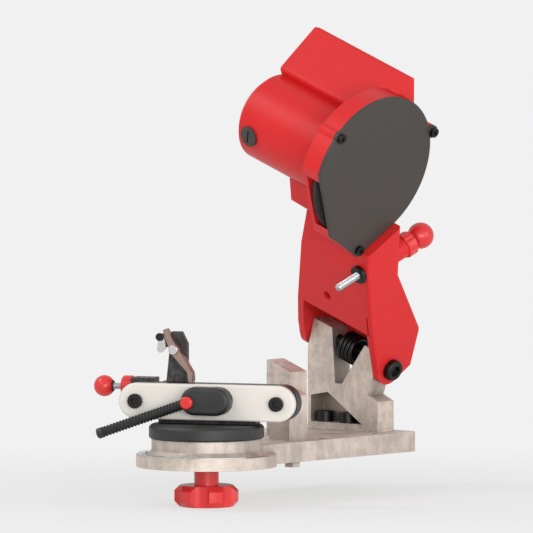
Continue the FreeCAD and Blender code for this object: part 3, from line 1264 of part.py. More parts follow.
def make_depth_stop():
    seat = -(d.depth_seat + d.slip_gap)
    ball_centre = seat - d.thumb_thick - d.slip_gap - d.depth_ball - d.slip_gap
    bore = d.depth_radius + d.fit_gap
    front = d.arm_front + d.fit_gap
    turned("depth_insert", "Depth", [
        (bore, -d.depth_seat), (d.depth_insert, -d.depth_seat), (d.depth_insert, front),
        (d.insert_flange, front), (d.insert_flange, front + d.insert_thick),
        (bore, front + d.insert_thick)])
    tail = ball_centre + d.depth_ball - d.ball_bite
    turned("depth_screw", "Depth", [
        (0, tail), (d.depth_radius, tail), (d.depth_radius, d.depth_tip - d.edge),
        (d.depth_radius - d.edge, d.depth_tip), (0, d.depth_tip)])
    turned("depth_knob", "Depth", ball_profile(d.depth_ball, ball_centre, bore, d.ball_bite + d.fit_gap,
                                               d.depth_ball_mouth))
    thumb_nut("depth_lock_nut", "Depth", d.thumb_radius, d.depth_radius, seat, d.thumb_thick, False)


def thumb_nut(label, frame_name, radius, bore, seat, thick, upward):
    """A round grip nut with shallow finger flutes, standing off its seat along the frame's Z."""
    low = seat if upward else seat - thick
    high = low + thick
    nut = turned(label, frame_name, [
        (bore + d.fit_gap, low), (radius - d.edge, low), (radius, low + d.edge), (radius, high - d.edge),
        (radius - d.edge, high), (bore + d.fit_gap, high)])
    flute = nut.sketch("XY_Plane", lift=low)
    draw_circle(flute, radius + d.edge, 0, 2 * d.edge)
    first = nut.cut(flute, thick)
    nut.ring_of(first, d.thumb_flutes)


# ---------------------------------------------------------------- vise


def make_vise():
    plate_top = d.boss_height + d.swivel_thick
    plate = turned("swivel_plate", "Vise", [
        (d.stud_radius + d.fit_gap, d.boss_height), (d.swivel_radius - d.edge, d.boss_height),
        (d.swivel_radius, d.boss_height + d.edge), (d.swivel_radius, plate_top - 2 * d.edge),
        (d.swivel_radius - 2 * d.edge, plate_top), (d.stud_radius + d.fit_gap, plate_top)])
    pointer = plate.sketch("XY_Plane", lift=d.boss_height)
    half = d.pointer_thick
    root = -(d.swivel_radius - 2 * d.edge)
    draw_polygon(pointer, [(-half, root), (ZERO, -(d.swivel_radius + d.pointer_reach)), (half, root)])
    plate.pad(pointer, d.pointer_thick)

    left = d.jaw_mid - d.jaw_half
    right = d.jaw_mid + d.jaw_half
    front_back = -d.jaw_slot / 2
    rear_front = d.jaw_slot / 2
    rear_back = rear_front + d.jaw_rear_thick

    rear = Piece("rear_jaw", "Vise")
    outline = rear.sketch("XZ_Plane", lift=-rear_back)
    draw_slot(outline, left, right, d.jaw_axis, d.jaw_round)
    rear.pad(outline, d.jaw_rear_thick)
    foot = rear.sketch("XZ_Plane", lift=-rear_back)
    reach = d.jaw_foot
    draw_polygon(foot, [(-reach, plate_top), (reach, plate_top), (reach, d.jaw_axis),
                        (-reach, d.jaw_axis)])
    rear.pad(foot, d.jaw_rear_thick)
    groove = rear.sketch("XZ_Plane", lift=-rear_back)
    groove_end = d.carriage_wide - d.carriage_left + d.stop_travel + d.slip_gap
    draw_polygon(groove, [(left - d.jaw_round, d.rail_z - d.rail_tall / 2),
                          (groove_end, d.rail_z - d.rail_tall / 2),
                          (groove_end, d.rail_z + d.rail_tall / 2),
                          (left - d.jaw_round, d.rail_z + d.rail_tall / 2)])
    rear.cut(groove, d.rail_deep)
    bores = rear.sketch("XZ_Plane", lift=-rear_back)
    for x in (left, right):
        draw_circle(bores, x, d.jaw_axis, d.guide_radius + d.fit_gap)
    draw_circle(bores, d.lever_x, d.lever_z, d.clamp_radius + d.fit_gap)
    rear.cut(bores, d.jaw_rear_thick)

    jaw = Piece("front_jaw", "Vise")
    outline = jaw.sketch("XZ_Plane", lift=-front_back)
    draw_slot(outline, left, right, d.jaw_axis, d.jaw_round)
    jaw.pad(outline, d.jaw_front_thick)
    face = front_back - d.jaw_front_thick
    jaw.soften(d.edge, kind="Chamfer", wanted=lambda edge: lies_at(edge, AXIS_Y, face.value))
    bores = jaw.sketch("XZ_Plane", lift=-front_back)
    for x in (left, right):
        draw_circle(bores, x, d.jaw_axis, d.guide_radius + d.fit_gap)
    draw_circle(bores, d.lever_x, d.lever_z, d.clamp_radius + d.fit_gap)
    jaw.cut(bores, d.jaw_front_thick)

    screws = Piece("guide_screws", "Vise")
    allow_groups(screws)
    shanks = screws.sketch("XZ_Plane", lift=-rear_back)
    heads = screws.sketch("XZ_Plane", lift=-(face - d.fit_gap))
    sockets = screws.sketch("XZ_Plane", lift=-(face - d.fit_gap - d.guide_head_thick))
    for x in (left, right):
        draw_circle(shanks, x, d.jaw_axis, d.guide_radius)
        draw_circle(heads, x, d.jaw_axis, d.guide_head)
        draw_hexagon(sockets, d.guide_radius - d.edge, x, d.jaw_axis)
    screws.pad(shanks, rear_back - face + d.fit_gap)
    screws.pad(heads, d.guide_head_thick)
    screws.cut(sockets, d.guide_head_thick / 2, back=True)


def make_lever():
    face = d.jaw_slot / 2 + d.jaw_front_thick + d.slip_gap
    bore_depth = d.hub_thick - d.hub_round
    stud = Piece("clamp_stud", "Lever")
    shank = stud.sketch("XY_Plane", lift=face + bore_depth - d.slip_gap)
    draw_circle(shank, 0, 0, d.clamp_radius)
    back = d.jaw_slot / 2 + d.jaw_rear_thick
    stud.pad(shank, face + bore_depth - d.slip_gap + back, back=True)
    head = stud.sketch("XY_Plane", lift=-back)
    draw_hexagon(head, d.clamp_head)
    stud.pad(head, d.clamp_head_thick, back=True)

    hub = Piece("cam_hub", "Lever")
    outline = hub.sketch("XY_Plane", lift=face)
    draw_slot(outline, -d.hub_left, d.hub_right, ZERO, d.hub_radius)
    hub.pad(outline, d.hub_thick)
    hub.soften(d.hub_round, lambda edge: lies_at(edge, AXIS_Z, (face + d.hub_thick).value))
    bore = hub.sketch("XY_Plane", lift=face)
    draw_circle(bore, 0, 0, d.clamp_radius + d.fit_gap)
    hub.cut(bore, bore_depth)

    middle = face + d.rod_lift
    frame("Rod", "Lever", (-d.rod_root, -d.rod_drop, middle), (AXIS_Z, d.rod_angle),
          (AXIS_Y, -QUARTER))
    inner_x = d.rod_bite * cosine(d.rod_angle) - d.rod_root
    inner_y = d.rod_bite * sine(d.rod_angle) - d.rod_drop
    socket = hub.sketch("YZ_Plane", lift=inner_x, across=inner_y, rise=middle,
                        turn=(AXIS_Y, d.rod_angle))
    draw_circle(socket, 0, 0, d.rod_radius + d.fit_gap)
    hub.cut(socket, d.rod_reach, back=True)
    turned("lever_rod", "Rod", [
        (0, -d.rod_bite), (d.rod_radius, -d.rod_bite), (d.rod_radius, d.rod_reach - 2 * d.edge),
        (d.rod_radius - 2 * d.edge, d.rod_reach), (0, d.rod_reach)])

    cap = Piece("lever_cap", "Lever")
    outline = cap.sketch("XY_Plane", lift=face + d.hub_thick)
    draw_circle(outline, -d.rod_root, -d.rod_drop, d.cap_radius)
    cap.pad(outline, d.cap_thick)
    cap.soften(d.cap_thick / 2, lambda edge: lies_at(edge, AXIS_Z, (face + d.hub_thick + d.cap_thick).value))


# ---------------------------------------------------------------- chain stop


def make_chain_stop():
    rear_back = d.jaw_slot / 2 + d.jaw_rear_thick
    ear = Piece("stop_bracket", "Vise")
    block = ear.sketch("XZ_Plane", lift=-(rear_back + d.ear_deep))
    low = d.stop_z - d.ear_tall / 2
    draw_polygon(block, [(-d.ear_left_x, low), (d.ear_wide - d.ear_left_x, low),
                         (d.ear_wide - d.ear_left_x, low + d.ear_tall), (-d.ear_left_x, low + d.ear_tall)])
    ear.pad(block, d.ear_deep)
    bore = ear.sketch("YZ_Plane", lift=-d.ear_left_x)
    draw_circle(bore, d.stop_y, d.stop_z, d.stop_radius + d.fit_gap)
    ear.cut(bore, d.ear_wide)

    nut_seat = -(d.ear_left_x + d.slip_gap)
    thumb_nut("stop_lock_nut", "Stop", d.stop_nut_radius, d.stop_radius, nut_seat, d.stop_nut_thick, False)
    tail = d.stop_ball - d.stop_ball_x - d.ball_bite
    screw_end = d.carriage_wide - d.carriage_left - 2 * d.edge
    turned("stop_screw", "Stop", [(0, tail), (d.stop_radius, tail), (d.stop_radius, screw_end),
                                  (0, screw_end)])
    turned("stop_knob", "Stop", ball_profile(d.stop_ball, -d.stop_ball_x, d.stop_radius + d.fit_gap,
                                             d.ball_bite + d.fit_gap, d.stop_ball_mouth))

    carriage = Piece("stop_carriage", "Vise")
    top = d.jaw_axis + d.jaw_round + d.slip_gap
    behind = rear_back + d.slip_gap
    block = carriage.sketch("XZ_Plane", lift=-(behind + d.ear_deep))
    draw_polygon(block, [(-d.carriage_left, top - d.carriage_tall),
                         (d.carriage_wide - d.carriage_left, top - d.carriage_tall),
                         (d.carriage_wide - d.carriage_left, top), (-d.carriage_left, top)])
    carriage.pad(block, d.ear_deep)
    tongue = carriage.sketch("XZ_Plane", lift=-behind)
    half = d.rail_tall / 2 - d.fit_gap
    draw_polygon(tongue, [(-d.carriage_left, d.rail_z - half),
                          (d.carriage_wide - d.carriage_left, d.rail_z - half),
                          (d.carriage_wide - d.carriage_left, d.rail_z + half),
                          (-d.carriage_left, d.rail_z + half)])
    carriage.pad(tongue, d.rail_deep)
    bore = carriage.sketch("YZ_Plane", lift=-d.carriage_left)
    draw_circle(bore, d.stop_y, d.stop_z, d.stop_radius + d.fit_gap)
    carriage.cut(bore, d.carriage_wide - 2 * d.edge)

    post = Piece("stop_post", "Vise")
    post_back = d.post_front + d.post_thick
    upright = post.sketch("XZ_Plane", lift=-post_back)
    lean = d.post_foot
    draw_polygon(upright, [(-d.post_left, top), (-d.post_right, top),
                           (-d.post_right, d.post_top - d.post_slope),
                           (-(d.post_right + d.post_slope / 2), d.post_top),
                           (-(d.post_left - lean), d.post_top)])
    post.pad(upright, d.post_thick)
    foot = post.sketch("XZ_Plane", lift=-(behind + d.ear_deep))
    draw_polygon(foot, [(-d.post_left, top), (-d.post_right, top), (-d.post_right, top + d.post_foot),
                        (-d.post_left, top + d.post_foot)])
    post.pad(foot, behind + d.ear_deep - post_back)
    bore = post.sketch("XZ_Plane", lift=-post_back)
    draw_circle(bore, -d.pawl_pin_x, d.pawl_pin_z, d.pawl_pin_radius + d.fit_gap)
    post.cut(bore, d.post_thick)


def make_pawl():
    half = d.pawl_wide / 2
    pin = Piece("pawl_pin", "Pawl")
    shank = pin.sketch("XY_Plane", lift=half + d.edge)
    draw_circle(shank, 0, 0, d.pawl_pin_radius)
    pin.pad(shank, half + 1 + d.post_front + d.post_thick, back=True)
    head = pin.sketch("XY_Plane", lift=half + d.slip_gap)
    draw_circle(head, 0, 0, d.pawl_pin_radius + 1.5 * d.edge)
    pin.pad(head, 2 * d.edge)

    top_x = d.pawl_pin_x - d.pawl_top_x
    top_y = d.pawl_top_z - d.pawl_pin_z
    foot_x = d.pawl_pin_x - d.pawl_foot_x
    foot_y = d.pawl_foot_z - d.pawl_pin_z
    strip = Piece("pawl", "Pawl")
    outline = strip.sketch("XY_Plane", lift=-half)
    thick = d.pawl_thick
    draw_polygon(outline, [(top_x, top_y), (-thick, -thick), (foot_x - thick, foot_y + 3 * thick),
                           (foot_x - thick / 2, foot_y), (foot_x + thick / 2, foot_y),
                           (foot_x + thick / 2, foot_y + 3 * thick), (thick, thick),
                           (top_x + thick, top_y + thick / 2)])
    strip.pad(outline, d.pawl_wide)
    knuckle = strip.sketch("XY_Plane", lift=-half)
    draw_circle(knuckle, 0, 0, d.pawl_pin_radius + 2 * d.edge)
    strip.pad(knuckle, d.pawl_wide)
    bore = strip.sketch("XY_Plane", lift=-half)
    draw_circle(bore, 0, 0, d.pawl_pin_radius + d.fit_gap)
    strip.cut(bore, d.pawl_wide)

    plate = Piece("pawl_tip", "Pawl")
    low = d.tip_low - d.pawl_pin_z
    outline = plate.sketch("XY_Plane", lift=-half)
    draw_polygon(outline, [(top_x - d.tip_wide / 2, low), (top_x - d.tip_wide / 4, low - 2 * d.edge),
                           (top_x + thick, low + thick), (top_x, top_y - thick),
                           (top_x - d.tip_wide / 3, top_y - thick)])
    plate.pad(outline, d.pawl_wide)
    screw_x = top_x - d.tip_screw_in
    screw_y = top_y - d.tip_screw_drop
    bore = plate.sketch("XY_Plane", lift=-half)
    draw_circle(bore, screw_x, screw_y, d.tip_screw + d.fit_gap)
    plate.cut(bore, d.pawl_wide)
    screw = Piece("pawl_screw", "Pawl")
    shank = screw.sketch("XY_Plane", lift=half)
    draw_circle(shank, screw_x, screw_y, d.tip_screw)
    screw.pad(shank, d.pawl_wide, back=True)
    head = screw.sketch("XY_Plane", lift=half)
    draw_circle(head, screw_x, screw_y, d.tip_screw_head)
    screw.pad(head, 2 * d.edge)


# ---------------------------------------------------------------- swivel lock


def make_swivel_lock():
    plate_top = d.boss_height + d.swivel_thick
    bottom = -(d.knob_top + d.knob_tall)
    stem_top = -(d.washer_thick + d.slip_gap)
    turned("swivel_stud", "Vise", [(0, bottom + d.stud_up), (d.stud_radius, bottom + d.stud_up),
                                   (d.stud_radius, plate_top - d.edge), (0, plate_top - d.edge)])
    turned("lock_washer", "Machine", ring_profile(d.stud_radius + d.fit_gap, d.washer_radius,
                                                  -d.washer_thick, ZERO))
    bore = d.stud_radius + d.fit_gap
    knob = turned("lock_knob", "Machine", [
        (0, bottom), (d.knob_radius - d.knob_slope, bottom), (d.knob_radius, bottom + d.knob_slope),
        (d.knob_radius, -d.knob_top - d.knob_slope), (d.knob_radius - d.knob_slope, -d.knob_top),
        (d.knob_stem, -d.knob_top), (d.knob_stem, stem_top), (bore, stem_top),
        (bore, bottom + d.stud_up - d.slip_gap), (0, bottom + d.stud_up - d.slip_gap)])
    scallop = knob.sketch("XY_Plane", lift=bottom)
    draw_circle(scallop, d.knob_radius + d.knob_scallop / 2, 0, d.knob_scallop)
    first = knob.cut(scallop, d.knob_tall)
    knob.ring_of(first, d.knob_lobes)


def make_angle_scale():
    scale = Piece("angle_scale", "Machine")
    outline = scale.sketch("XY_Plane", lift=d.boss_rim)
    draw_circle(outline, 0, 0, d.scale_outer)
    draw_circle(outline, 0, 0, d.scale_inner)
    scale.pad(outline, d.scale_thick)
    back = scale.sketch("XY_Plane", lift=d.boss_rim)
    reach = 2 * d.scale_outer
    edge = -(d.scale_inner * sine(d.scale_back))
    draw_polygon(back, [(-reach, edge), (reach, edge), (reach, reach), (-reach, reach)])
    scale.cut(back, d.scale_thick)


# ---------------------------------------------------------------- finish


def check_document():
    for item in document.Objects:
        if "Invalid" in item.State or "Error" in item.State:
            raise RuntimeError(f"{item.Label} is {item.State}")
    for body in FINISHED:
        if body.Shape.isNull() or not body.Shape.isValid():
            raise RuntimeError(f"{body.Label} has no valid shape")
        if body.Shape.Volume <= 0 or not body.Shape.Solids:
            raise RuntimeError(f"{body.Label} holds no solid")


def write_parts():
    os.makedirs("parts", exist_ok=True)
    for body in FINISHED:
        body.Shape.exportStep(os.path.join("parts", f"{body.Label}.step"))
        print(f"{body.Label}: {len(body.Shape.Solids)} solids, {body.Shape.Volume / 1000:.2f} cm3")


make_base()
make_bracket()
make_axle()
make_arm()
make_shroud()
make_motor_housing()
make_spindle()
make_switch_box()
make_depth_stop()
make_vise()
make_lever()
make_chain_stop()
make_pawl()
make_swivel_lock()
make_angle_scale()
document.recompute()
check_document()
write_parts()
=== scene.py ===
"""A bench grinder for saw chains: the finishes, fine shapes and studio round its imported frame.

Lengths are metres in the machine's frame: the origin lies between the bench bolts in the plane of
the bench top, +X is to the operator's right, -Y towards the operator and +Z up.
"""
import json
import math

import bmesh
import bpy
from mathutils import Matrix, Vector


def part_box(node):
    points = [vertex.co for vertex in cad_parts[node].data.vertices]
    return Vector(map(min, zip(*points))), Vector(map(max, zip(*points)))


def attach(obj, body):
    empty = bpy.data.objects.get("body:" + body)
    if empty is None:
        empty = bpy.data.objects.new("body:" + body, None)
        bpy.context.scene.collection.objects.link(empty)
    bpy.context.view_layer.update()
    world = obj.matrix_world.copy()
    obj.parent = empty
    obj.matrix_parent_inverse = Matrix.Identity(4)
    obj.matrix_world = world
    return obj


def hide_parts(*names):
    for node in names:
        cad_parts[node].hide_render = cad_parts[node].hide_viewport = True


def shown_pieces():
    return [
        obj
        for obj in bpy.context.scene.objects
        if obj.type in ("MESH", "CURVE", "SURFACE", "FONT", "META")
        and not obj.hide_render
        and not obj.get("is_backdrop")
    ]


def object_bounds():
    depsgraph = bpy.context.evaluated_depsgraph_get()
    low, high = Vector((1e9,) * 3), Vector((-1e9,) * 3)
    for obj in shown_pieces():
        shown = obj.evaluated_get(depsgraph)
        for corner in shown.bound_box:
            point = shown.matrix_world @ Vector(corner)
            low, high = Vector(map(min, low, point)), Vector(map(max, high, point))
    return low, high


MM = 0.001
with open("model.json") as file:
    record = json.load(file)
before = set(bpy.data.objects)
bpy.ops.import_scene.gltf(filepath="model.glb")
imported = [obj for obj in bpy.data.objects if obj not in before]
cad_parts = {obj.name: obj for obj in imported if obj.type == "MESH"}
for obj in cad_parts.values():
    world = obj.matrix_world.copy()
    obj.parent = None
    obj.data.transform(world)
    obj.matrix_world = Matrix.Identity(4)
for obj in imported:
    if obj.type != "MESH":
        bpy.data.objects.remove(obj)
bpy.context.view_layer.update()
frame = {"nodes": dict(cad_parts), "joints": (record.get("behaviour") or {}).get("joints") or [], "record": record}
scene = bpy.context.scene
NODES = frame["nodes"]
JOINTS = {joint["name"]: joint for joint in frame["joints"]}
SLOT_OF = {part["node"]: part["material_slot"] for part in frame["record"]["subparts"]}
BODY_OF = {node: body for body, members in frame["record"]["behaviour"]["bodies"].items()
           for node in members}

# ---------------------------------------------------------------- places taken from the frame


def joint_axis(name):
    return Vector(JOINTS[name]["axis"]).normalized()


def joint_place(name):
    return Vector(JOINTS[name]["pos_m"])


def middle(node):
    low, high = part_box(node)
    return (low + high) / 2


def reach(node, foot, axis):
    """How far a node reaches along an axis from its foot, and its greatest radius about it."""
    heights, radii = [], []
    for corner in NODES[node].data.vertices:
        offset = corner.co - foot
        height = offset.dot(axis)
        heights.append(height)
        radii.append((offset - axis * height).length)
    return min(heights), max(heights), max(radii)


HEAD_X = joint_axis("head_tilt")
HEAD_Y = -joint_axis("depth_feed")
HEAD_Z = HEAD_X.cross(HEAD_Y)
AXLE = joint_place("head_tilt")
SWIVEL = joint_place("vise_swivel")

# ---------------------------------------------------------------- materials

MIX_SHARE, MIX_FIRST, MIX_SECOND, MIX_COLOUR = 0, 6, 7, 2   # the colour sockets of a Mix node
OUTER_EDGE = 0.57           # the pointiness at which an edge counts as an outer one
RUBBED_PATCH = 4 * MM
CAST_SKIN = 5 * MM          # lumps of a cast skin
CAST_SKIN_DEPTH = 0.16 * MM
PIT = 0.9 * MM
PIT_DEPTH = 0.075 * MM
CORNER_SHADE = 0.65                # share of painted shade in the deepest corner
CORNER_SHADE_REACH = 22 * MM       # how far round a corner the painted shade reaches
MOULD_WAVE = 14 * MM        # slow waves of a moulded wall
MOULD_WAVE_DEPTH = 0.05 * MM
MOULD_GRAIN = 0.4 * MM
METAL_GRAIN = 0.35 * MM
METAL_GRAIN_DEPTH = 0.006 * MM
METAL_WEAR = 0.08
ORANGE_PEEL = 1.6 * MM
ORANGE_PEEL_DEPTH = 0.03 * MM
GRIT = 0.55 * MM
GRIT_DEPTH = 0.12 * MM
SPARK = 0.3 * MM            # bright grains of the abrasive


class Wire:
    """A value inside a finish. Arithmetic on wires adds Math nodes."""

    def __init__(self, finish, socket):
        self.finish = finish
        self.socket = socket

    def __add__(self, other):
        return self.finish.maths("ADD", self, other)

    __radd__ = __add__

    def __sub__(self, other):
        return self.finish.maths("SUBTRACT", self, other)

    def __rsub__(self, other):
        return self.finish.maths("SUBTRACT", other, self)

    def __mul__(self, other):
        return self.finish.maths("MULTIPLY", self, other)

    __rmul__ = __mul__

    def above(self, level, soft):
        """0 below the level and 1 above it, with a soft step between."""
        return self.finish.add("ShaderNodeMapRange", {"interpolation_type": "SMOOTHSTEP"},
                               {"Value": self, "From Min": level - soft, "From Max": level + soft})


class Finish:
    """One surface finish: a material, its shader and the nodes that feed it."""

    def __init__(self, name, **shader):
        self.material = bpy.data.materials.new(name)
        self.material.use_nodes = True
        self.tree = self.material.node_tree
        self.shader = self.tree.nodes["Principled BSDF"]
        self.feed(self.shader, {name.replace("_", " "): value for name, value in shader.items()})
        self.place = self.add("ShaderNodeTexCoord", out="Object")
        self.bumps = None

    def add(self, kind, settings=None, sockets=None, out=0):
        """Add a node: its settings first, then what its sockets are fed with. Gives one output."""
        node = self.tree.nodes.new(kind)
        for name, value in (settings or {}).items():
            setattr(node, name, value)
        self.feed(node, sockets or {})
        return Wire(self, node.outputs[out])

    def feed(self, node, sockets):
        for name, value in sockets.items():
            socket = node.inputs[name]
            if isinstance(value, Wire):
                self.tree.links.new(value.socket, socket)
            elif isinstance(value, tuple) and len(value) == 3 and socket.type == "RGBA":
                socket.default_value = (*value, 1.0)
            else:
                socket.default_value = value

    def maths(self, operation, *values):
        return self.add("ShaderNodeMath", {"operation": operation}, dict(enumerate(values)))

    def noise(self, size, detail=2.0, rough=0.5, stretch=(1, 1, 1)):
        """Cloudy noise about 0.5 whose lumps are about a size across."""
        place = self.add("ShaderNodeMapping", None, {"Vector": self.place, "Scale": stretch})
        return self.add("ShaderNodeTexNoise", None,
                        {"Vector": place, "Scale": 1 / size, "Detail": detail, "Roughness": rough},
                        out="Fac")

    def speckle(self, size):
        """Rounded grains about a size across: 0 in the middle of a grain."""
        return self.add("ShaderNodeTexVoronoi", None, {"Vector": self.place, "Scale": 1 / size},
                        out="Distance")

    def worn_edges(self):
        """1 on patches of the outer edges, where handling has rubbed them, and 0 elsewhere."""
        edge = self.add("ShaderNodeNewGeometry", out="Pointiness").above(OUTER_EDGE, 0.05)
        return edge * self.noise(RUBBED_PATCH, 3).above(0.5, 0.12)

    def blend(self, share, first, second):
        """The first colour where the share is 0 and the second where it is 1."""
        return self.add("ShaderNodeMix", {"data_type": "RGBA"},
                        {MIX_SHARE: share, MIX_FIRST: first, MIX_SECOND: second}, out=MIX_COLOUR)

    def colour(self, value):
        self.feed(self.shader, {"Base Color": value})

    def rough(self, value):
        self.feed(self.shader, {"Roughness": value})

    def bump(self, height, depth, strength=1.0):
        """Raise the surface by a depth where the height is 1, on top of earlier bumps."""
        sockets = {"Height": height, "Distance": depth, "Strength": strength}
        if self.bumps:
            sockets["Normal"] = self.bumps
        self.bumps = self.add("ShaderNodeBump", None, sockets)
        self.feed(self.shader, {"Normal": self.bumps})


def shade(colour, factor):
    return tuple(min(1.0, part * factor) for part in colour)


def moulded(name, colour, rough, depth=0.012 * MM, gloss=0.3):
    """Injection-moulded plastic: a spark-eroded grain of a depth and slow changes of tone."""
    finish = Finish(name, Specular_IOR_Level=gloss)
    cloud = finish.noise(38 * MM, 3)
    finish.colour(finish.blend(cloud, shade(colour, 0.93), shade(colour, 1.06)))
    smear = finish.noise(9 * MM, 4, 0.6)
    finish.rough(rough + 0.10 * (smear - 0.5) + 0.06 * (cloud - 0.5))
    finish.bump(finish.noise(MOULD_GRAIN, 1), depth)
    finish.bump(finish.noise(MOULD_WAVE, 1), MOULD_WAVE_DEPTH, 0.5)
    return finish


def cast(name, colour, metal, rough, bare):
    """Cast metal: a pebbled skin, flow marks, painted shade in its corners and bare metal on its edges."""
    finish = Finish(name, Metallic=metal)
    cloud = finish.noise(17 * MM, 4, 0.55)
    streak = finish.noise(7 * MM, 3, 0.6, stretch=(1, 1, 0.25))
    pits = finish.noise(PIT, 2)
    flow = (cloud * 0.6 + streak * 0.4).above(0.5, 0.2)
    tone = finish.blend(flow, shade(colour, 0.72), shade(colour, 1.16))
    pitted = finish.blend(pits.above(0.62, 0.1) * 0.5, tone, shade(colour, 0.55))
    # Painted shade: an ambient occlusion mask darkens the colour in corners, recesses and under parts, towards a
    # near-black copy of it.
    open_air = finish.add("ShaderNodeAmbientOcclusion", {"samples": 6}, {"Distance": CORNER_SHADE_REACH},
                          out="AO")
    corner_shaded = finish.blend((1 - open_air) * CORNER_SHADE, pitted, shade(colour, 0.10))
    finish.colour(finish.blend(finish.worn_edges(), corner_shaded, bare))
    finish.rough(rough + 0.16 * (cloud - 0.5) + 0.1 * (pits - 0.5))
    finish.bump(finish.noise(CAST_SKIN, 2), CAST_SKIN_DEPTH, 0.6)
    finish.bump(pits, PIT_DEPTH)
    return finish


def plain_metal(name, colour, rough):
    """Turned or drawn metal: even, with light handling marks."""
    finish = Finish(name, Metallic=1.0)
    cloud = finish.noise(6 * MM, 4, 0.6)
    finish.colour(finish.blend(cloud, shade(colour, 0.86), shade(colour, 1.08)))
    finish.rough(rough + METAL_WEAR * (cloud - 0.5) * 2)
    finish.bump(finish.noise(METAL_GRAIN, 2), METAL_GRAIN_DEPTH)
    return finish


def painted(name, colour, rough):
    """Baked enamel over metal, with a little orange peel."""
    finish = Finish(name, Coat_Weight=0.25, Coat_Roughness=0.15)
    cloud = finish.noise(21 * MM, 4, 0.6)
    finish.colour(finish.blend(cloud, shade(colour, 0.95), shade(colour, 1.03)))
    finish.rough(rough + 0.12 * (cloud - 0.5))
    finish.bump(finish.noise(ORANGE_PEEL, 1), ORANGE_PEEL_DEPTH)
    return finish


def abrasive():
    """Vitrified grit: dark grains with open pores between them."""
    finish = Finish("abrasive")
    grit = finish.speckle(GRIT)
    spark = finish.noise(SPARK, 2).above(0.66, 0.04)
    tone = finish.blend(grit.above(0.35, 0.2), (0.05, 0.045, 0.042), (0.014, 0.013, 0.012))
    finish.colour(finish.blend(spark, tone, (0.2, 0.18, 0.17)))
    finish.rough(0.95 - 0.25 * spark)
    finish.bump(1 - grit, GRIT_DEPTH)
    return finish


RED = (0.71, 0.024, 0.026)
SILVER = (0.64, 0.555, 0.49)

FINISHES = {
    "cast_aluminium": lambda: cast("cast_aluminium", SILVER, 0.75, 0.56, shade(SILVER, 1.25)),
    "scale_plate": lambda: plain_metal("scale_plate", (0.60, 0.59, 0.57), 0.36),
    "zinc_steel": lambda: plain_metal("zinc_steel", (0.56, 0.57, 0.58), 0.30),
    "bright_steel": lambda: plain_metal("bright_steel", (0.66, 0.64, 0.62), 0.22),
    "core_steel": lambda: plain_metal("core_steel", (0.35, 0.34, 0.34), 0.45),
    "pawl_steel": lambda: plain_metal("pawl_steel", (0.36, 0.25, 0.22), 0.40),
    "black_steel": lambda: plain_metal("black_steel", (0.035, 0.034, 0.034), 0.42),
    "bronze": lambda: plain_metal("bronze", (0.50, 0.32, 0.13), 0.35),
    "copper": lambda: plain_metal("copper", (0.70, 0.27, 0.13), 0.34),
    "carbon": lambda: moulded("carbon", (0.02, 0.02, 0.02), 0.6),
    "red_plastic": lambda: moulded("red_plastic", RED, 0.40, gloss=0.22),
    "red_knob": lambda: moulded("red_knob", (0.76, 0.030, 0.030), 0.26, 0.0015 * MM, 0.5),
    "dark_plastic": lambda: moulded("dark_plastic", (0.056, 0.048, 0.042), 0.50, 0.02 * MM),
    "black_rubber": lambda: moulded("black_rubber", (0.018, 0.018, 0.018), 0.62),
    "black_cast": lambda: cast("black_cast", (0.027, 0.027, 0.027), 0.2, 0.46,
                               (0.11, 0.105, 0.10)),
    "white_paint": lambda: painted("white_paint", (0.80, 0.755, 0.70), 0.34),
    "abrasive": abrasive,
}
made = {}


def finish_for(slot):
    if slot not in made:
        made[slot] = FINISHES[slot]().material
    return made[slot]


# ---------------------------------------------------------------- pieces from the frame's nodes

# How wide each node's edges are rounded, in millimetres. Hidden pieces keep theirs sharp.
EDGES = {
    "base_casting": 1.3, "pivot_bracket": 1.5, "arm_body": 1.4, "wheel_shroud": 0.8,
    "guard_cover": 0.9, "motor_housing": 0.5, "motor_end_cap": 0.5, "switch_box": 0.9,
    "switch_plate": 0.6, "switch_bezel": 0.5, "rocker_button": 0.5, "cable_gland": 0.5,
    "brush_caps": 0.7, "swivel_plate": 0.6, "rear_jaw": 0.9, "front_jaw": 0.5, "cam_hub": 0.8,
    "stop_bracket": 0.8, "stop_carriage": 0.8, "stop_post": 0.6, "pawl": 0.3, "pawl_tip": 0.4,
    "lock_knob": 1.1, "lock_washer": 0.3, "axle_nut": 0.5, "axle_bolt": 0.4, "bracket_bolts": 0.5,
    "guide_screws": 0.4, "clamp_stud": 0.5, "depth_lock_nut": 0.4,
    "stop_lock_nut": 0.4, "pawl_pin": 0.4, "pawl_screw": 0.3,
    "lever_cap": 0.4, "guard_screws": 0.5, "outer_flange": 0.5,
    "inner_flange": 0.4, "spindle_nut": 0.4, "angle_scale": 0.15, "pivot_bushes": 0.3,
}
SHARP = math.radians(28)        # edges sharper than this are rounded
FLAT = math.radians(0.4)        # faces nearer to one plane than this become one
SAME_PLACE = 0.004 * MM         # corners nearer than this become one


def merged(node):
    """A copy of a node's mesh as one skin of flat faces."""
    mesh = bpy.data.meshes.new(node)
    shape = bmesh.new()
    shape.from_mesh(NODES[node].data)
    bmesh.ops.remove_doubles(shape, verts=shape.verts, dist=SAME_PLACE)
    bmesh.ops.dissolve_limit(shape, angle_limit=FLAT, verts=shape.verts, edges=shape.edges)
    shape.to_mesh(mesh)
    shape.free()
    return mesh


def solidified(thing):
    """The mesh that an object's modifiers give."""
    return bpy.data.meshes.new_from_object(
        thing.evaluated_get(bpy.context.evaluated_depsgraph_get()))


def linked(name, data):
    """A new object in the scene."""
    thing = bpy.data.objects.new(name, data)
    scene.collection.objects.link(thing)
    return thing


def smooth(mesh):
    for face in mesh.polygons:
        face.use_smooth = True


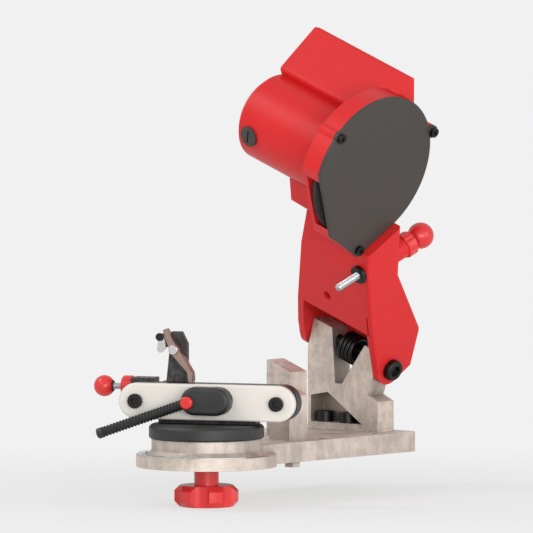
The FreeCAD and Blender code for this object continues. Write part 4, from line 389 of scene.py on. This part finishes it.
def refined(node, width):
    """A copy of a node whose sharp edges are rounded over."""
    mesh = merged(node)
    piece = linked(f"{node}_shell", mesh)
    smooth(mesh)
    rounding = piece.modifiers.new("Edges", "BEVEL")
    rounding.width = width * MM
    rounding.segments = 2
    rounding.limit_method = "ANGLE"
    rounding.angle_limit = SHARP
    rounding.miter_outer = "MITER_ARC"
    flats = piece.modifiers.new("Flats", "WEIGHTED_NORMAL")
    flats.weight = 100
    solid = solidified(piece)
    piece.modifiers.clear()
    piece.data = solid
    return piece


def settle(piece, node):
    """The piece stands for the node: it rides where the node rides and takes its finish."""
    piece.data.materials.clear()
    piece.data.materials.append(finish_for(SLOT_OF[node]))
    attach(piece, BODY_OF[node])
    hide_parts(node)


# ---------------------------------------------------------------- shapes made here


def new_piece(name, shape, body, finish_name, *stands_for):
    """A finished piece from a bmesh, riding on a body, with one of the record's finishes."""
    bmesh.ops.recalc_face_normals(shape, faces=shape.faces)
    mesh = bpy.data.meshes.new(name)
    shape.to_mesh(mesh)
    shape.free()
    return settle_mesh(name, mesh, body, finish_name, *stands_for)


def settle_mesh(name, mesh, body, finish_name, *stands_for):
    """A finished piece from a mesh, standing for nodes of the frame if they are named."""
    mesh.materials.clear()
    mesh.materials.append(finish_for(finish_name))
    piece = linked(name, mesh)
    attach(piece, body)
    if stands_for:
        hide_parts(*stands_for)
    return piece


def upright_on(foot, axis, toward=None):
    """The place whose Z axis runs along an axis from a foot, with X near a given direction."""
    if toward is None:
        turn = axis.to_track_quat("Z", "Y").to_matrix()
    else:
        side = (toward - axis * toward.dot(axis)).normalized()
        turn = Matrix((side, axis.cross(side), axis)).transposed()
    return Matrix.Translation(foot) @ turn.to_4x4()


def mark_sharp(shape, angle=math.radians(35)):
    """Smooth shading with the sharp edges kept."""
    for face in shape.faces:
        face.smooth = True
    for edge in shape.edges:
        edge.smooth = len(edge.link_faces) == 2 and edge.calc_face_angle(0) < angle


def lathe(profile, foot, axis, around=72):
    """A closed round body from points of a radius and a height along the axis."""
    on_axis = 1e-7
    shape = bmesh.new()
    rows = []
    for radius, height in profile:
        if radius < on_axis:
            rows.append([shape.verts.new((0, 0, height))])
        else:
            rows.append([shape.verts.new((radius * math.cos(math.tau * step / around),
                                          radius * math.sin(math.tau * step / around), height))
                         for step in range(around)])
    closed = profile[0][0] > on_axis
    pairs = zip(rows, rows[1:] + rows[:1]) if closed else zip(rows, rows[1:])
    for low, high in pairs:
        for step in range(around):
            after = (step + 1) % around
            corners = []
            for corner in (low[step % len(low)], low[after % len(low)], high[after % len(high)],
                           high[step % len(high)]):
                if corner not in corners:
                    corners.append(corner)
            if len(corners) > 2:
                shape.faces.new(corners)
    bmesh.ops.recalc_face_normals(shape, faces=shape.faces)
    mark_sharp(shape)
    shape.transform(upright_on(foot, axis))
    return shape


def thread(foot, axis, low, high, radius, pitch):
    """A screw with a pointed thread whose ends run out into short bevels."""
    around, rows = 28, 6                # points round the screw and rows of them in a pitch
    depth = 0.58 * pitch
    bevel = 0.9                         # share of the depth that the ends are turned down by
    shape = bmesh.new()
    count = int((high - low) / pitch * rows)
    grid = []
    for row in range(count + 1):
        height = low + (high - low) * row / count
        run_out = min(1.0, (height - low) / pitch, (high - height) / pitch)
        ring = []
        for step in range(around):
            phase = (height / pitch - step / around) % 1
            groove = abs(2 * phase - 1)
            size = radius - depth * (groove * run_out + bevel * (1 - run_out))
            angle = math.tau * step / around
            ring.append(shape.verts.new((size * math.cos(angle), size * math.sin(angle), height)))
        grid.append(ring)
    for lower, upper in zip(grid, grid[1:]):
        for step in range(around):
            after = (step + 1) % around
            shape.faces.new((lower[step], lower[after], upper[after], upper[step]))
    shape.faces.new(list(reversed(grid[0])))
    shape.faces.new(grid[-1])
    mark_sharp(shape, math.radians(75))
    shape.transform(upright_on(foot, axis))
    return shape


def make_screws():
    """The depth screw and the chain stop's screw, each with its thread cut."""
    for node, joint, pitch in (("depth_screw", "depth_feed", 1.0 * MM),
                               ("stop_screw", "stop_lock", 0.8 * MM)):
        foot, axis = joint_place(joint), joint_axis(joint)
        shape = thread(foot, axis, *reach(node, foot, axis), pitch)
        new_piece(f"{node}_threaded", shape, BODY_OF[node], SLOT_OF[node], node)


def make_balls():
    """The red ball grips, each with a dark steel bush in the recess that its screw enters."""
    for node, joint, mouth, bore in (("depth_knob", "depth_feed", 5.6 * MM, 3.06 * MM),
                                     ("stop_knob", "stop_lock", 4.5 * MM, 2.56 * MM)):
        foot, axis = joint_place(joint), joint_axis(joint)
        low, _, radius = reach(node, foot, axis)
        centre = low + radius
        last = math.asin(math.sqrt(radius * radius - mouth * mouth) / radius)
        steps = 30
        profile = [(0.0, low)]
        for step in range(1, steps + 1):
            angle = -math.pi / 2 + (last + math.pi / 2) * step / steps
            profile.append((radius * math.cos(angle), centre + radius * math.sin(angle)))
        top = profile[-1][1]
        lip = 0.35 * MM
        wall = mouth - lip
        floor = top - 2.0 * MM
        end = floor - 3 * MM
        profile += [(mouth - lip * 0.4, top + lip * 0.05), (wall, top - lip), (wall, floor),
                    (bore, floor), (bore, end), (0.0, end)]
        new_piece(f"{node}_ball", lathe(profile, foot, axis), BODY_OF[node], SLOT_OF[node], node)
        outer = wall - 0.15 * MM
        bottom, rise = floor + 0.05 * MM, top + 0.9 * MM
        outer_bevel, inner_bevel = 0.3 * MM, 0.4 * MM
        collar = [(bore, bottom), (outer, bottom), (outer, rise - outer_bevel),
                  (outer - outer_bevel, rise), (bore + inner_bevel, rise),
                  (bore, rise - inner_bevel)]
        new_piece(f"{node}_bush", lathe(collar, foot, axis), BODY_OF[node], "black_steel")


def make_spring():
    """The return spring as an open coil of round wire."""
    node = "return_spring"
    axis, down, back = HEAD_X, -HEAD_Z, HEAD_Y
    low, high, outer = reach(node, AXLE, axis)
    wire = 1.5 * MM
    coil = outer - wire
    start, end = low + wire, high - wire
    pitch = 3.7 * MM
    turns = (end - start) / pitch
    along, around = 48, 14              # points in a turn and points round the wire
    shape = bmesh.new()
    rings = []
    for row in range(int(turns * along) + 1):
        angle = math.tau * row / along
        outward = down * math.cos(angle) + back * math.sin(angle)
        turning = back * math.cos(angle) - down * math.sin(angle)
        tangent = (turning * coil + axis * pitch / math.tau).normalized()
        side = tangent.cross(outward)
        centre = AXLE + axis * (start + pitch * row / along) + outward * coil
        ring = []
        for step in range(around):
            about = math.tau * step / around
            spoke = outward * math.cos(about) + side * math.sin(about)
            ring.append(shape.verts.new(centre + spoke * wire))
        rings.append(ring)
    for first, second in zip(rings, rings[1:]):
        for step in range(around):
            after = (step + 1) % around
            shape.faces.new((first[step], first[after], second[after], second[step]))
    shape.faces.new(rings[0])
    shape.faces.new(rings[-1])
    mark_sharp(shape, math.radians(60))
    new_piece("return_spring_coil", shape, BODY_OF[node], SLOT_OF[node], node)


# ---------------------------------------------------------------- recesses cut in heads


def islands(mesh):
    """The corners of each separate solid of a mesh, in the order of the mesh."""
    shape = bmesh.new()
    shape.from_mesh(mesh)
    seen = set()
    groups = []
    for start in shape.verts:
        if start.index in seen:
            continue
        seen.add(start.index)
        queue = [start]
        group = []
        while queue:
            corner = queue.pop()
            group.append(corner.co.copy())
            for edge in corner.link_edges:
                other = edge.other_vert(corner)
                if other.index not in seen:
                    seen.add(other.index)
                    queue.append(other)
        groups.append(group)
    shape.free()
    return groups


def bar(place, long, wide, deep, taper=0.75):
    """A tapered bar that sinks from the foot of a place, narrower below, long in X."""
    shape = bmesh.new()
    proud = 0.6 * MM
    corners = []
    for height, share in ((proud, 1.0), (-deep, taper)):
        for x, y in ((-1, -1), (1, -1), (1, 1), (-1, 1)):
            corners.append(shape.verts.new((x * long / 2 * share, y * wide / 2 * share, height)))
    shape.faces.new(corners[3::-1])
    shape.faces.new(corners[4:])
    for step in range(4):
        after = (step + 1) % 4
        shape.faces.new((corners[step], corners[after], corners[4 + after], corners[4 + step]))
    bmesh.ops.recalc_face_normals(shape, faces=shape.faces)
    shape.transform(place)
    return shape


def sink(piece, shapes):
    """Cut shapes out of a piece and shade what is left by its angles."""
    for shape in shapes:
        mesh = bpy.data.meshes.new("cutter")
        shape.to_mesh(mesh)
        shape.free()
        tool = linked("cutter", mesh)
        cut = piece.modifiers.new("Cut", "BOOLEAN")
        cut.operation = "DIFFERENCE"
        cut.solver = "EXACT"
        cut.object = tool
        solid = solidified(piece)
        piece.modifiers.clear()
        piece.data = solid
        bpy.data.objects.remove(tool)
        bpy.data.meshes.remove(mesh)
    shape = bmesh.new()
    shape.from_mesh(piece.data)
    mark_sharp(shape)
    shape.to_mesh(piece.data)
    shape.free()


def head_ends(node, outward_of):
    """The middle of each fixing's outer face and the way that face looks."""
    rim_depth = 0.5 * MM
    ends = []
    for group in islands(merged(node)):
        low = Vector([min(corner[axis] for corner in group) for axis in range(3)])
        high = Vector([max(corner[axis] for corner in group) for axis in range(3)])
        outward = outward_of((low + high) / 2)
        top = max(corner.dot(outward) for corner in group)
        rim = [corner for corner in group if corner.dot(outward) > top - rim_depth]
        ends.append((sum(rim, Vector()) / len(rim), outward))
    return ends


def away_from_motor(point):
    """The way from the motor's axis to a point, square to the axis."""
    offset = point - joint_place("spindle_spin")
    return (offset - HEAD_X * offset.dot(HEAD_X)).normalized()


def turned(degrees):
    return Matrix.Rotation(math.radians(degrees), 4, "Z")


def cross_recesses():
    """A cross for each of the cover's screws, each screw stopped at its own angle."""
    long, wide, deep = 4.6 * MM, 1.0 * MM, 1.5 * MM
    shapes = []
    for index, (centre, outward) in enumerate(head_ends("guard_screws", lambda point: HEAD_X)):
        place = upright_on(centre, outward, HEAD_Z) @ turned(20 + 47 * index)
        shapes += [bar(place, long, wide, deep), bar(place @ turned(90), long, wide, deep)]
    return shapes


def cap_slots():
    """A slot across each brush cap."""
    shapes = []
    for index, (centre, outward) in enumerate(head_ends("brush_caps", away_from_motor)):
        place = upright_on(centre, outward, HEAD_X) @ turned(35 + 50 * index)
        shapes.append(bar(place, 11.0 * MM, 1.7 * MM, 1.2 * MM, 0.95))
    return shapes


RECESSES = {"guard_screws": cross_recesses, "brush_caps": cap_slots}

# ---------------------------------------------------------------- repeats, by Geometry Nodes


class Layout:
    """A Geometry Nodes tree with named sizes, run once to give a plain mesh."""

    def __init__(self, name, sizes):
        self.tree = bpy.data.node_groups.new(name, "GeometryNodeTree")
        self.sizes = sizes
        face = self.tree.interface
        face.new_socket("Geometry", in_out="OUTPUT", socket_type="NodeSocketGeometry")
        for size in sizes:
            face.new_socket(size, in_out="INPUT", socket_type="NodeSocketFloat")
        self.given = self.tree.nodes.new("NodeGroupInput")
        self.result = self.tree.nodes.new("NodeGroupOutput")

    def size(self, name):
        return self.given.outputs[name]

    def add(self, kind, settings=None, sockets=None):
        """Add a node: its settings first, then what its sockets are fed with."""
        node = self.tree.nodes.new(kind)
        for name, value in (settings or {}).items():
            setattr(node, name, value)
        for name, value in (sockets or {}).items():
            if isinstance(value, bpy.types.NodeSocket):
                self.tree.links.new(value, node.inputs[name])
            else:
                node.inputs[name].default_value = value
        return node.outputs[0]

    def sizes_of(self, **sockets):
        """Sockets fed from the tree's named sizes."""
        return {name.replace("_", " "): self.size(value) for name, value in sockets.items()}

    def mesh(self, instances, finish_name, place):
        """Realize what was laid out, give it its finish and put it in its place."""
        plain = self.add("GeometryNodeRealizeInstances", None, {"Geometry": instances})
        dressed = self.add("GeometryNodeSetMaterial", None,
                           {"Geometry": plain, "Material": finish_for(finish_name)})
        self.tree.links.new(dressed, self.result.inputs[0])
        carrier = linked(self.tree.name, bpy.data.meshes.new(self.tree.name))
        layout = carrier.modifiers.new("Layout", "NODES")
        layout.node_group = self.tree
        for item in self.tree.interface.items_tree:
            if item.in_out == "INPUT":
                layout[item.identifier] = self.sizes[item.name]
        mesh = solidified(carrier)
        carrier.modifiers.clear()
        bpy.data.objects.remove(carrier)
        mesh.transform(place)
        return mesh


def make_grip():
    """The lever rod: a bar with a ribbed black sleeve."""
    node = "lever_rod"
    foot, axis, low, high, radius = rod_line(node)
    waist = radius - 0.75 * MM
    bevel = 0.8 * MM
    neck, collar = low + 9 * MM, high - 5 * MM
    core = [(0.0, low), (radius, low), (radius, neck), (waist, low + 9.6 * MM),
            (waist, high - 5.5 * MM), (radius, collar), (radius, high - bevel),
            (radius - bevel, high), (0.0, high)]
    new_piece("lever_bar", lathe(core, foot, axis, 40), BODY_OF[node], SLOT_OF[node], node)
    pitch = 2.6 * MM
    start, last = low + 11.2 * MM, high - 6.6 * MM
    count = int((last - start) / pitch) + 1
    ribs = Layout("grip_ribs", {"Rib Radius": waist - 0.1 * MM, "Rib Thickness": 0.85 * MM,
                                "Rib Pitch": pitch, "Rib Count": float(count)})
    ring = ribs.add("GeometryNodeCurvePrimitiveCircle", None,
                    {"Resolution": 36, "Radius": ribs.size("Rib Radius")})
    section = ribs.add("GeometryNodeCurvePrimitiveCircle", None,
                       {"Resolution": 10, "Radius": ribs.size("Rib Thickness")})
    rib = ribs.add("GeometryNodeCurveToMesh", None, {"Curve": ring, "Profile Curve": section})
    step = ribs.add("ShaderNodeCombineXYZ", None, {"Z": ribs.size("Rib Pitch")})
    line = ribs.add("GeometryNodeMeshLine", {"mode": "OFFSET", "count_mode": "TOTAL"},
                    {"Count": ribs.size("Rib Count"), "Offset": step})
    instances = ribs.add("GeometryNodeInstanceOnPoints", None, {"Points": line, "Instance": rib})
    mesh = ribs.mesh(instances, "black_rubber", upright_on(foot + axis * start, axis))
    smooth(mesh)
    settle_mesh("grip_ribs", mesh, BODY_OF[node], "black_rubber")


def rod_line(node):
    """A rod's foot, its axis away from the hub, its reach and its radius."""
    end_length = 9 * MM
    corners = [corner.co for corner in merged(node).vertices]
    first = max(corners, key=lambda corner: (corner - corners[0]).length)
    rough = (max(corners, key=lambda corner: (corner - first).length) - first).normalized()
    bottom = min(corner.dot(rough) for corner in corners) + end_length
    top = max(corner.dot(rough) for corner in corners) - end_length
    ends = []
    for keep in (lambda rise: rise < bottom, lambda rise: rise > top):
        group = [corner for corner in corners if keep(corner.dot(rough))]
        ends.append(sum(group, Vector()) / len(group))
    foot, far_end = ends
    axis = (far_end - foot).normalized()
    low, high, radius = reach(node, foot, axis)
    hub = middle("cam_hub")
    if (foot + axis * high - hub).length < (foot + axis * low - hub).length:
        axis, low, high = -axis, -high, -low
    return foot, axis, low, high, radius


def make_scale_marks():
    """Ticks every five degrees and plain numbers every ten on the ring of the angle scale."""
    node = "angle_scale"
    inner = 45.8 * MM                   # inner radius of the ring
    straight_ahead = -90                # where the scale reads 0, in degrees from +X
    centre = Vector((SWIVEL.x, SWIVEL.y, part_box(node)[1].z))
    for name, every, long, most in (("long_ticks", 10, 2.3 * MM, 40),
                                    ("short_ticks", 5, 1.4 * MM, 35)):
        sweep = 2.0 * most
        ticks = Layout(name, {"Ring Radius": inner + 0.3 * MM + long / 2,
                              "First Angle": math.radians(straight_ahead - most),
                              "Sweep": math.radians(sweep), "Tick Count": sweep / every + 1,
                              "Tick Length": long, "Tick Width": 0.48 * MM,
                              "Tick Height": 0.10 * MM})
        arc = ticks.add("GeometryNodeCurveArc", {"mode": "RADIUS"},
                        ticks.sizes_of(Resolution="Tick Count", Radius="Ring Radius",
                                       Start_Angle="First Angle", Sweep_Angle="Sweep"))
        points = ticks.add("GeometryNodeCurveToPoints", {"mode": "EVALUATED"}, {"Curve": arc})
        size = ticks.add("ShaderNodeCombineXYZ", None,
                         ticks.sizes_of(X="Tick Length", Y="Tick Height", Z="Tick Width"))
        tick = ticks.add("GeometryNodeMeshCube", None, {"Size": size})
        instances = ticks.add("GeometryNodeInstanceOnPoints", None,
                              {"Points": points, "Instance": tick,
                               "Rotation": points.node.outputs["Rotation"]})
        mesh = ticks.mesh(instances, "dark_plastic", Matrix.Translation(centre))
        settle_mesh(name, mesh, BODY_OF[node], "dark_plastic")
    numbers = bmesh.new()
    up = Vector((0, 0, 1))
    for angle in range(-30, 31, 10):
        around = math.radians(angle + straight_ahead)
        outward = Vector((math.cos(around), math.sin(around), 0))
        place = upright_on(centre + outward * (inner + 4.2 * MM), up, up.cross(outward))
        add_lettering(numbers, str(abs(angle)), 3.1 * MM, 0.05 * MM, place)
    new_piece("scale_numbers", numbers, BODY_OF[node], "dark_plastic")


def add_lettering(shape, words, size, thick, place):
    """Raised figures in plain type, centred on their place."""
    text = bpy.data.curves.new(words, "FONT")
    text.body = words
    text.size = size
    text.align_x = "CENTER"
    text.align_y = "CENTER"
    text.extrude = thick
    text.resolution_u = 3
    holder = linked(words, text)
    mesh = solidified(holder)
    bpy.data.objects.remove(holder)
    mesh.transform(place)
    shape.from_mesh(mesh)
    bpy.data.meshes.remove(mesh)


def make_rocker_marks():
    """The bar and ring of the rocker switch, raised on its two halves."""
    node = "rocker_button"
    mesh = merged(node)
    outer = [face for face in mesh.polygons if face.normal.dot(-HEAD_X) > 0.9]
    halves = sorted(outer, key=lambda face: -face.area)[:2]
    halves.sort(key=lambda face: face.center.dot(HEAD_Y))
    marks = bmesh.new()
    for words, half in zip(("I", "O"), halves):
        place = upright_on(half.center, half.normal, -HEAD_Y) @ turned(90)
        add_lettering(marks, words, 5.2 * MM, 0.12 * MM, place)
    new_piece("rocker_marks", marks, BODY_OF[node], "white_paint")


for node, thing in NODES.items():
    if node in EDGES:
        piece = refined(node, EDGES[node])
        if node in RECESSES:
            sink(piece, RECESSES[node]())
        settle(piece, node)
    else:
        thing.data.materials.clear()
        thing.data.materials.append(finish_for(SLOT_OF[node]))
make_screws()
make_balls()
make_spring()
make_grip()
make_scale_marks()
make_rocker_marks()

# ---------------------------------------------------------------- studio

AZIMUTH = math.radians(42)
ELEVATION = math.radians(4)
TO_CAMERA = Vector((math.sin(AZIMUTH) * math.cos(ELEVATION),
                    -math.cos(AZIMUTH) * math.cos(ELEVATION), math.sin(ELEVATION)))
RIGHT = Vector((math.cos(AZIMUTH), math.sin(AZIMUTH), 0))
UP = TO_CAMERA.cross(RIGHT)
LENS = 1000.0           # so long that there is almost no perspective
SENSOR = 36.0
FILL = 0.90             # share of the view that the machine takes up
BACKDROP = 0.88         # what the camera and mirror-like surfaces see
SKY = 0.40              # what lights the machine from all round
FLOOR_GAP = 0.2 * MM
FLOOR_HALF = 6.0
FADE_MIDDLE, FADE_SOFT = 0.30, 0.24     # where the floor runs out into the backdrop, in metres
FLOOR_GLOW = 0.70       # share of the backdrop in the floor under the machine


def seen_extent():
    """The middle of the object and its longer side, as the camera sees them."""
    points = [corner.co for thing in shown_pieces() if thing.type == "MESH"
              for corner in thing.data.vertices]
    across, rise, depth = ([point.dot(way) for point in points] for way in (RIGHT, UP, TO_CAMERA))
    centre = (RIGHT * (min(across) + max(across)) + UP * (min(rise) + max(rise))
              + TO_CAMERA * (min(depth) + max(depth))) / 2
    return centre, max(max(across) - min(across), max(rise) - min(rise))


def place_camera():
    """Put the camera in front of the machine. Gives the place that it looks at."""
    centre, size = seen_extent()
    camera = linked("Camera", bpy.data.cameras.new("Camera"))
    camera.data.lens = LENS
    camera.data.sensor_width = SENSOR
    camera.location = centre + TO_CAMERA * (size / FILL * LENS / SENSOR)
    camera.rotation_euler = TO_CAMERA.to_track_quat("Z", "Y").to_euler()
    camera.data.clip_end = 50
    scene.camera = camera
    return centre


def area_lamp(name, place, target, size, power):
    lamp = linked(name, bpy.data.lights.new(name, "AREA"))
    lamp.data.shape = "RECTANGLE"
    lamp.data.size, lamp.data.size_y = size
    lamp.data.energy = power
    lamp.location = place
    lamp.rotation_euler = (place - target).to_track_quat("Z", "Y").to_euler()


def studio_floor(centre):
    """A pale floor under the lock knob."""
    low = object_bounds()[0].z
    mesh = bpy.data.meshes.new("floor")
    corners = [(x * FLOOR_HALF, y * FLOOR_HALF, low - FLOOR_GAP)
               for x, y in ((-1, -1), (1, -1), (1, 1), (-1, 1))]
    mesh.from_pydata(corners, [], [(0, 1, 2, 3)])
    linked("floor", mesh)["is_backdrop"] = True
    mesh.materials.append(floor_finish(Vector((centre.x, centre.y, low))))


def floor_finish(below):
    """Pale card that takes a soft shadow under the machine and runs out into the backdrop."""
    finish = Finish("studio_card", Roughness=0.9, Specular_IOR_Level=0.1)
    finish.colour((0.86, 0.86, 0.86))
    glow = finish.add("ShaderNodeEmission", None,
                      {"Color": (BACKDROP, BACKDROP, BACKDROP), "Strength": 1.0}, out="Emission")
    rays = finish.tree.nodes.new("ShaderNodeLightPath").outputs
    seen = finish.maths("MAXIMUM", Wire(finish, rays["Is Camera Ray"]),
                        Wire(finish, rays["Is Glossy Ray"]))
    spread = finish.add("ShaderNodeVectorMath", {"operation": "DISTANCE"},
                        {0: finish.place, 1: tuple(below)}, out="Value")
    far = spread.above(FADE_MIDDLE, FADE_SOFT)
    card = Wire(finish, finish.shader.outputs["BSDF"])
    mixed = finish.add("ShaderNodeMixShader", None,
                       {0: seen * (FLOOR_GLOW + (1 - FLOOR_GLOW) * far), 1: card, 2: glow},
                       out="Shader")
    finish.feed(finish.tree.nodes["Material Output"], {"Surface": mixed})
    return finish.material


def studio_world():
    """Even light from all round, weaker for the machine than what the camera sees."""
    world = bpy.data.worlds.new("studio")
    scene.world = world
    world.use_nodes = True
    nodes, links = world.node_tree.nodes, world.node_tree.links
    background = nodes["Background"]
    background.inputs["Color"].default_value = (1.0, 1.0, 1.0, 1.0)
    rays = nodes.new("ShaderNodeLightPath").outputs
    seen = nodes.new("ShaderNodeMath")
    seen.operation = "MAXIMUM"
    links.new(rays["Is Camera Ray"], seen.inputs[0])
    links.new(rays["Is Glossy Ray"], seen.inputs[1])
    strength = nodes.new("ShaderNodeMapRange")
    strength.inputs["To Min"].default_value = SKY
    strength.inputs["To Max"].default_value = BACKDROP
    links.new(seen.outputs[0], strength.inputs["Value"])
    links.new(strength.outputs["Result"], background.inputs["Strength"])


# Each lamp's distance right, towards the camera and up from the machine, its size and its power.
LAMPS = {
    "key": ((-1.0, 1.2, 0.7), (0.8, 0.8), 3),
    "front": ((0.3, 1.7, -0.15), (1.2, 0.9), 20),
    "fill": ((1.3, 0.9, 0.2), (1.2, 1.2), 8),
    "top": ((-1.0, 0.1, 1.0), (0.2, 0.6), 5),
}


def light_studio(centre):
    for name, ((right, near, high), size, power) in LAMPS.items():
        place = centre + RIGHT * right + TO_CAMERA * near + Vector((0, 0, high))
        area_lamp(name, place, centre, size, power)


centre = place_camera()
studio_floor(centre)
studio_world()
light_studio(centre)
scene.view_settings.view_transform = "Standard"
